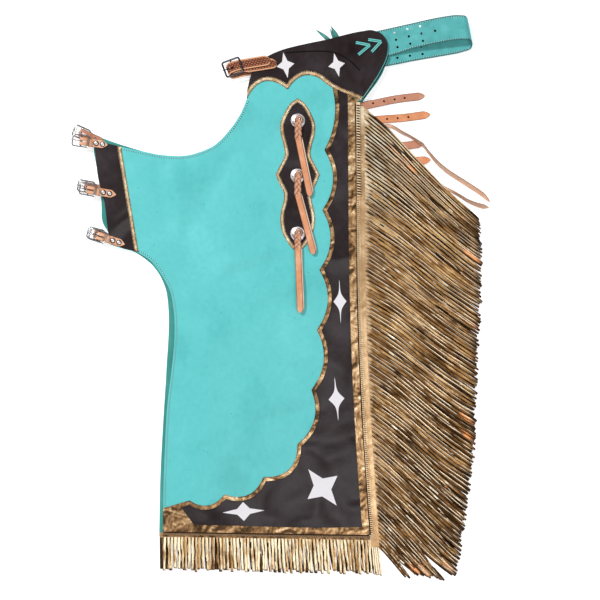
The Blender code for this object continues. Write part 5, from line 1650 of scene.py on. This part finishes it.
def make_leg_buckle(name, x, y, turn, tip, face_up):
    """One leg buckle with its chape, rivets and prong."""
    height = UPPER_BAR if face_up else LOWER_BAR
    place = Matrix.Translation((x, y, height)) @ Matrix.Rotation(math.radians(turn), 4, "Z")
    flip = Matrix.Rotation(math.pi, 4, "X")
    if face_up:
        panel = UPPER_REST + TAB_LIFT
        outer = panel + SECOND_LAYER + STRAP / 2 - height
        inner = panel - GAP - STRAP / 2 - height
        inner_end, under, bend, level = 38.0, -FOLD_RADIUS, 10.0, 18.5
        rivet_height, finish, body = outer + STRAP / 2, TAN_CHAPE, "prong_" + name.split("_")[1]
        # The seat under each rivet head is a ring of painted shade.
        rivet_parts = ((RIVET_PROFILE, SILVER, 24), (RIVET_SEAT, RECESS_SHADE, 24))
    else:
        place = place @ flip
        outer = height - STRAP / 2
        inner = height - (STRAP + GAP) - LEG - GAP - STRAP / 2
        inner_end, under, bend, level = tip, FOLD_RADIUS - STRAP - GAP, 18.1, 23.8
        rivet_height, finish, body = inner - STRAP / 2, TAN_PALE, "chaps"
        rivet_parts = ((RIVET_BACK, NICKEL, 20),)
    width = STRAP_WIDTH
    profile = [
        (inner_end, inner, width, 0.0), (level, inner, width, 0.0), (bend, under, width, 0.0),
        *fold_rows(0.0, FOLD_RADIUS, width, 0.0, 0.0, 6),
        (bend, FOLD_RADIUS, width, 0.0), (level, outer, width, 0.0),
        (tip - 9.0, outer, width, 0.0), (tip, outer, width, 0.0),
    ]
    make_folded(
        f"tab_{name}", f"chape_{name}", profile, STRAP, finish, TAN_SLOT, place,
        ((18.5, 3.2, 14.0), (2.25, 0.0, 0.0)), spacing=1.6, tips=((9.0, 0.8), (10.0, 0.7)),
    )
    make_buckle_frame(
        f"buckle_{name}", f"frame_{name}", FRAME_LENGTH, FRAME_WIDTH, WIRE, BAR_DROP, place,
        NICKEL, "nickel",
    )
    make_prong(
        f"pin_{name}", f"prong_{name}", FRAME_LENGTH / 2, WIRE, PRONG, BAR_DROP, place,
        NICKEL, "nickel", body,
    )
    heads = []
    for distance in RIVETS:
        seat = place @ Matrix.Translation((distance, 0.0, rivet_height))
        if not face_up:
            seat = seat @ flip
        heads += [turned("rivet", form, seat, metal, steps) for form, metal, steps in rivet_parts]
    settle(join(heads, f"rivets_{name}"), "nickel", smooth=40, painted_flank_shade=True)


def make_waist_buckle():
    """The fastened waist buckle with its tooled chape and billet."""
    x, y, turn = WAIST_BUCKLE
    height = WAIST_BAR
    place = Matrix.Translation((x, y, height)) @ Matrix.Rotation(math.radians(turn), 4, "Z")
    width = WAIST_WIDTH
    half = WAIST_STRAP / 2
    yoke = UPPER_REST + WAIST_LIFT
    outer = yoke + THIRD_LAYER + half - height
    inner = yoke - GAP - half - height
    root = LEG + GAP + half - height
    over = outer + WAIST_STRAP + GAP
    chape = [
        (62.0, inner, width, -16.0), (30.0, inner, width, -9.5), (14.0, -WAIST_FOLD, width, -2.0),
        *fold_rows(0.0, WAIST_FOLD, width, -2.0, -2.0, 6),
        (12.0, WAIST_FOLD, width, -3.0), (30.0, outer, width, -9.5),
        (75.0, outer, width, -18.5), (85.4, outer, width, -20.6),
    ]
    billet = [
        (86.0, root, width, -22.0), (32.0, root, width, -15.0),
        (16.0, -WAIST_BILLET_FOLD, width, -12.0),
        *fold_rows(-6.0, WAIST_BILLET_FOLD, width, -9.5, 1.0, 9),
        (8.0, WAIST_BILLET_FOLD, width, 1.0), (32.0, over, width, -3.0),
        (65.0, over, width, -9.0), (75.4, over, width, -10.9),
    ]
    for name, node, profile, window in (
        ("waist_tab", "waist_chape", chape, ((20.0, 3.6, 10.6), (-1.0, 0.0, 0.0))),
        ("waist_strap", "waist_billet", billet, ((15.0, 3.6, 8.0), (-5.5, 0.0, 5.8))),
    ):
        make_folded(
            name, node, profile, WAIST_STRAP, TOOLED, TOOLED_SLOT, place, window,
            spacing=1.2, tips=(None, (10.5, "round")), round_edge=0.6,
        )
    make_buckle_frame(
        "waist_buckle", "waist_frame", WAIST_FRAME_LENGTH, WAIST_FRAME_WIDTH, WAIST_STOCK,
        WAIST_BAR_DROP, place, GUNMETAL, "gunmetal", corner=1.7,
    )
    make_prong(
        "waist_pin", "waist_prong", WAIST_FRAME_LENGTH / 2, WAIST_WIRE, WAIST_PRONG,
        WAIST_BAR_DROP, place, GUNMETAL, "gunmetal",
    )


# --------------------------------------------------- belt, straps and laces

def belt_rows(along, across):
    """Rows of the back belt: upper run, half turn, lower run."""
    rows = [(Vector(row[:3]), across * row[3] / 2) for row in BELT_UPPER]
    for step in range(9):
        angle = math.pi / 2 - math.pi * step / 8
        middle = Vector(BELT_FOLD_CENTRE) + across * (BELT_FOLD_SLIDE * math.sin(angle))
        middle += along * (BELT_FOLD_RADIUS * math.cos(angle))
        middle.z += BELT_FOLD_RADIUS * math.sin(angle)
        rows.append((middle, across * BELT_UPPER[-1][3] / 2))
    return rows + [(Vector(row[:3]), across * row[3] / 2) for row in BELT_LOWER]


def face_runs(rows, side, sign):
    """Runs along one edge of a strap, on one face, where that face looks up or down."""
    middles = [row[0] for row in rows]
    flat = []
    for index, (middle, half) in enumerate(rows):
        normal = half.cross(ahead_of(middles, index)).normalized() * (BELT_THICKNESS / 2)
        place = middle + half * (1 - BELT_SEAM_INSET / half.length) * side + normal * sign
        if normal.z * sign > 0.9 * BELT_THICKNESS / 2:
            flat.append(place)
    steps = [(after - before).length for before, after in zip(flat, flat[1:])]
    breaks = [index + 1 for index, step in enumerate(steps) if step > BELT_RUN_BREAK]
    breaks = [0, *breaks, len(flat)]
    return [flat[start:end] for start, end in zip(breaks, breaks[1:]) if end - start > 2]


def make_belt():
    """The back belt with its holes and the stitching along both edges."""
    along = Vector((math.cos(BELT_DIRECTION), math.sin(BELT_DIRECTION), 0.0))
    across = Vector((-along.y, along.x, 0.0))
    rows = belt_rows(along, across)
    belt = make(add_strap, "belt", TEAL_BELT, rows, BELT_THICKNESS, round_edge=0.7)

    # Most holes stop short of the underside, so their floors take the painted shade.
    def bore(x, y, middle, through=False):
        top = middle + 2.6
        bottom = middle - (4.0 if through else 1.1)
        return round_cutter(x, y, (bottom + top) / 2, BELT_HOLE_RADIUS, top - bottom)

    holes = [bore(*BELT_LAST_HOLE, 15.5)]
    for x, upper_y, lower_y in BELT_HOLES:
        for place in (-1, 0, 1):
            shift = across * (BELT_HOLE_PITCH * place)
            upper_z = max(10.5 + (x - 262.0) * 0.1, 7.6)
            lower_z = 3.4 if x < 240.0 else 1.9
            holes.append(bore(x + shift.x, upper_y + shift.y, upper_z, place == 1))
            holes.append(bore(x + shift.x, lower_y + shift.y, lower_z))
    punch(belt, holes, RECESS_SHADE)
    settle(belt, TURQUOISE_SLOT, "back_belt", smooth=40)
    rows = ease(rows, 3.0)
    runs = [run for side in (-1, 1) for sign in (-1, 1) for run in face_runs(rows, side, sign)]
    seam = sew("belt_stitching", runs, 4.8, 2.8, 1.3, PALE_THREAD, TURQUOISE_SLOT)
    # Dark marks between the stitches: painted shade of their holes.
    sew("belt_hole_shade", runs, 4.8, 2.0, 1.4, TEAL_HOLE_SHADE, TURQUOISE_SLOT, late=2.4)
    length = sum((b[0] - a[0]).length for a, b in zip(rows, rows[1:]))


def make_leg_straps():
    """Billet straps that come out under the fringe."""
    finishes = (TAN_PALE, TAN, TAN_PALE, TAN, TAN_FLESH, TAN_FLESH)
    for (name, table), finish in zip(LEG_STRAPS.items(), finishes):
        rows = []
        flat = [Vector((x, y, 0.0)) for x, y, *_ in table]
        for index, (x, y, z, twist, width) in enumerate(table):
            along = ahead_of(flat, index)
            level = Vector((-along.y, along.x, 0.0))
            angle = math.radians(twist)
            half = (level * math.cos(angle) + UP * math.sin(angle)) * width / 2
            rows.append((Vector((x, y, z)), half))
        strap = make(
            add_strap, f"billet_{name}", finish, rows, STRAP, tips=(None, (12.0, 0.55)),
        )
        if name in STRAP_HOLES:
            # The holes stop short of the underside, so their floors take the painted shade.
            cuts = [round_cutter(x, y, z + 5.0, 2.1, 10.7) for x, y, z in STRAP_HOLES[name]]
            punch(strap, cuts, RECESS_SHADE)
        settle(strap, TAN_SLOT, name, smooth=40)


def make_laces():
    """Turquoise laces: chevrons on the yoke and the ends past the waist edge."""
    face = upper_lift(THIRD_LAYER + LACE / 2)
    for name, (first, tip, last) in CHEVRONS.items():
        bm = bmesh.new()
        for start, end in ((Vector(first), Vector(tip)), (Vector(last), Vector(tip))):
            across = left_of((end - start).normalized())
            for side in (-1, 1):
                rows = []
                for t, lift in LACE_LIFTS:
                    place = start.lerp(end, t) + across * (1.6 * side)
                    place = Vector((*place, face(place.x, place.y) + lift))
                    rows.append((place, Vector((*across, 0.0)) * 1.45))
                add_strap(bm, rows, LACE, 2.0, round_edge=0.4)
        settle(to_object(bm, f"laces_{name}", (TEAL_LACE,)), TURQUOISE_SLOT, name, smooth=40)
    for name, ends in LACE_ENDS.items():
        bm = bmesh.new()
        for number, (root, middle, tip, half) in enumerate(ends):
            rows = []
            for place, share in ((root, 1.0), (middle, 0.95), (tip, 0.12)):
                z = lower_surface(*place) + FIRST_LAYER + LACE / 2 + 0.5 * number
                rows.append((Vector((*place, z)), share))
            along = (rows[-1][0] - rows[0][0]).normalized()
            across = Vector((-along.y, along.x, 0.0)) * half
            rows = [(place, across * share) for place, share in rows]
            add_strap(bm, rows, LACE, 2.5, round_edge=0.4)
        settle(to_object(bm, f"end_{name}", (LACE_BACK,)), TURQUOISE_SLOT, name, smooth=40)
    seam = [row[0] for row in ease([(Vector((x, y, 0.0)),) for x, y in YOKE_SEAM], 4.0)]
    seam = on_surface(seam, upper_lift(SECOND_LAYER + OVERLAY + 0.2))
    make_line("yoke_seam_line", seam, 1.2, SEAM_SHADE, BLACK_SLOT, 0.4)


def add_braid(bm, start, end, top, rest):
    """Three plaited strands that come down from top to what rest says they lie on."""
    for strand in range(3):
        rows = []
        for step in range(33):
            t = step / 32
            phase = math.tau * (BRAID_TURNS * t + strand / 3)
            middle = start.lerp(end, t)
            low = top + (rest(middle, 8.0) + 0.4 - top) * smooth_step((t - 0.25) / 0.6)
            spread = BRAID_SPREAD * (0.45 + 0.55 * smooth_step(t * 4.0))
            rows.append((
                Vector((
                    middle.x + spread * math.sin(phase), middle.y,
                    low + 1.5 + 1.05 * math.sin(2 * phase),
                )),
                Vector((3.7, 1.3 * math.cos(phase), -0.5 * math.cos(2 * phase))),
            ))
        add_strap(bm, rows, 1.7, 1.6, tips=((3.0, 0.5), (3.0, 0.5)), round_edge=0.5)


def make_concho(name, x, y, braid_y, tip_x, tip_y):
    """A fluted concho and its braided string."""
    turns = [math.tau * step / 12 for step in range(12)]
    base = THIRD_LAYER + max(
        upper_surface(x + CONCHO_RADIUS * math.cos(turn), y + CONCHO_RADIUS * math.sin(turn))
        for turn in turns
    )
    middle = Vector((x, y, base))
    place = Matrix.Translation(middle)
    concho = turned(f"silver_{name}", CONCHO_PROFILE, place, SILVER, 72)
    for vert in concho.data.vertices:
        local = vert.co / MM + MIDDLE - middle
        radius = math.hypot(local.x, local.y)
        if FLUTES_FROM < radius < FLUTES_TO and local.z > 0.5:
            window = math.sin(math.pi * (radius - FLUTES_FROM) / (FLUTES_TO - FLUTES_FROM))
            turn = math.atan2(local.y, local.x)
            vert.co.z += FLUTE_DEPTH * MM * window * math.cos(FLUTES * turn)
    settle(concho, "nickel", f"concho_{name}", smooth=40, painted_flank_shade=True)

    def rest(place, half):
        sides = (-half, 0.0, half)
        return max(upper_surface(place.x + side, place.y) for side in sides) + THIRD_LAYER

    bm = bmesh.new()
    top = base + CONCHO_RISE + GAP
    add_braid(bm, Vector((x, y + 4.0)), Vector((x + 0.5, braid_y)), top, rest)
    head = [
        (Vector((x + aside, y + up, top + lift)), Vector((half, 0, 0)))
        for aside, up, lift, half in BRAID_HEAD
    ]
    add_strap(bm, head, 1.6, 1.0, tips=((7.0, 0.45), None), round_edge=0.5)
    root = Vector((x + 0.8, braid_y + 4.0))
    tip = Vector((tip_x, tip_y))
    along = (tip - root).normalized()
    level = left_of(along)
    for extra, shift, shorten, material in TAIL_LAYERS:
        rows = []
        for t, lift in TAIL_LIFTS:
            place = root.lerp(tip - along * shorten, t) + level * (-shift)
            z = rest(place, 6.0) + lift + extra + 0.2
            rows.append((Vector((*place, z)), Vector((*level, 0.0)) * 6.1))
        add_strap(bm, rows, 1.4, tips=(None, (9.0, "round")), material=material)
    string = to_object(bm, f"braid_{name}", (TAN_BRAID, TAN_TAIL, TAIL_EDGE))
    settle(string, TAN_SLOT, f"string_{name}", smooth=42)
    seat = Matrix.Translation((x + 3.0, y + 2.6, top + 2.8))
    # The ring round the eyelet's head is painted shade.
    eye = [
        turned("eye_ring", EYE_RING, seat, RECESS_SHADE, 20),
        turned("eye_head", EYE_HEAD, seat, SILVER, 16),
    ]
    settle(join(eye, f"eye_{name}"), "nickel", smooth=40, painted_flank_shade=True)


def make_camera():
    """Straight above, at the height of a copy stand."""
    data = bpy.data.cameras.new("camera")
    data.lens = 85.0
    data.sensor_width = 36.0
    camera = link("camera", data)
    camera.location = CAMERA_PLACE
    bpy.context.scene.camera = camera


def make_studio():
    """A pale floor, soft light from the upper left and a bright room."""
    select()
    bpy.ops.mesh.primitive_plane_add(size=8.0, location=(0, 0, -0.0004))
    floor = bpy.context.object
    floor.name = "floor"
    look = Look("paper_floor")
    look.set(
        look.shader, Base_Color=(0.96,) * 3, Roughness=0.9, Emission_Color=(1.0,) * 3,
        Emission_Strength=0.40,
    )
    floor.data.materials.append(look.material)
    for name, place, size, power in LIGHTS:
        data = bpy.data.lights.new(name, "AREA")
        data.shape = "SQUARE"
        data.size = size
        data.energy = power
        light = link(name, data)
        light.location = place
        light.rotation_euler = (-Vector(place)).to_track_quat("-Z", "Y").to_euler()
    world = bpy.data.worlds.new("room")
    world.use_nodes = True
    background = world.node_tree.nodes["Background"]
    background.inputs["Color"].default_value = (0.94, 0.97, 1.0, 1.0)
    background.inputs["Strength"].default_value = 0.26
    bpy.context.scene.world = world
    bpy.context.scene.view_settings.view_transform = "Standard"


make_camera()
make_studio()
make_legs()
make_overlays()
make_fringes()
make_seams()
for buckle in BUCKLES:
    make_leg_buckle(*buckle)
make_waist_buckle()
make_belt()
make_leg_straps()
make_laces()
for concho in CONCHOS:
    make_concho(*concho)
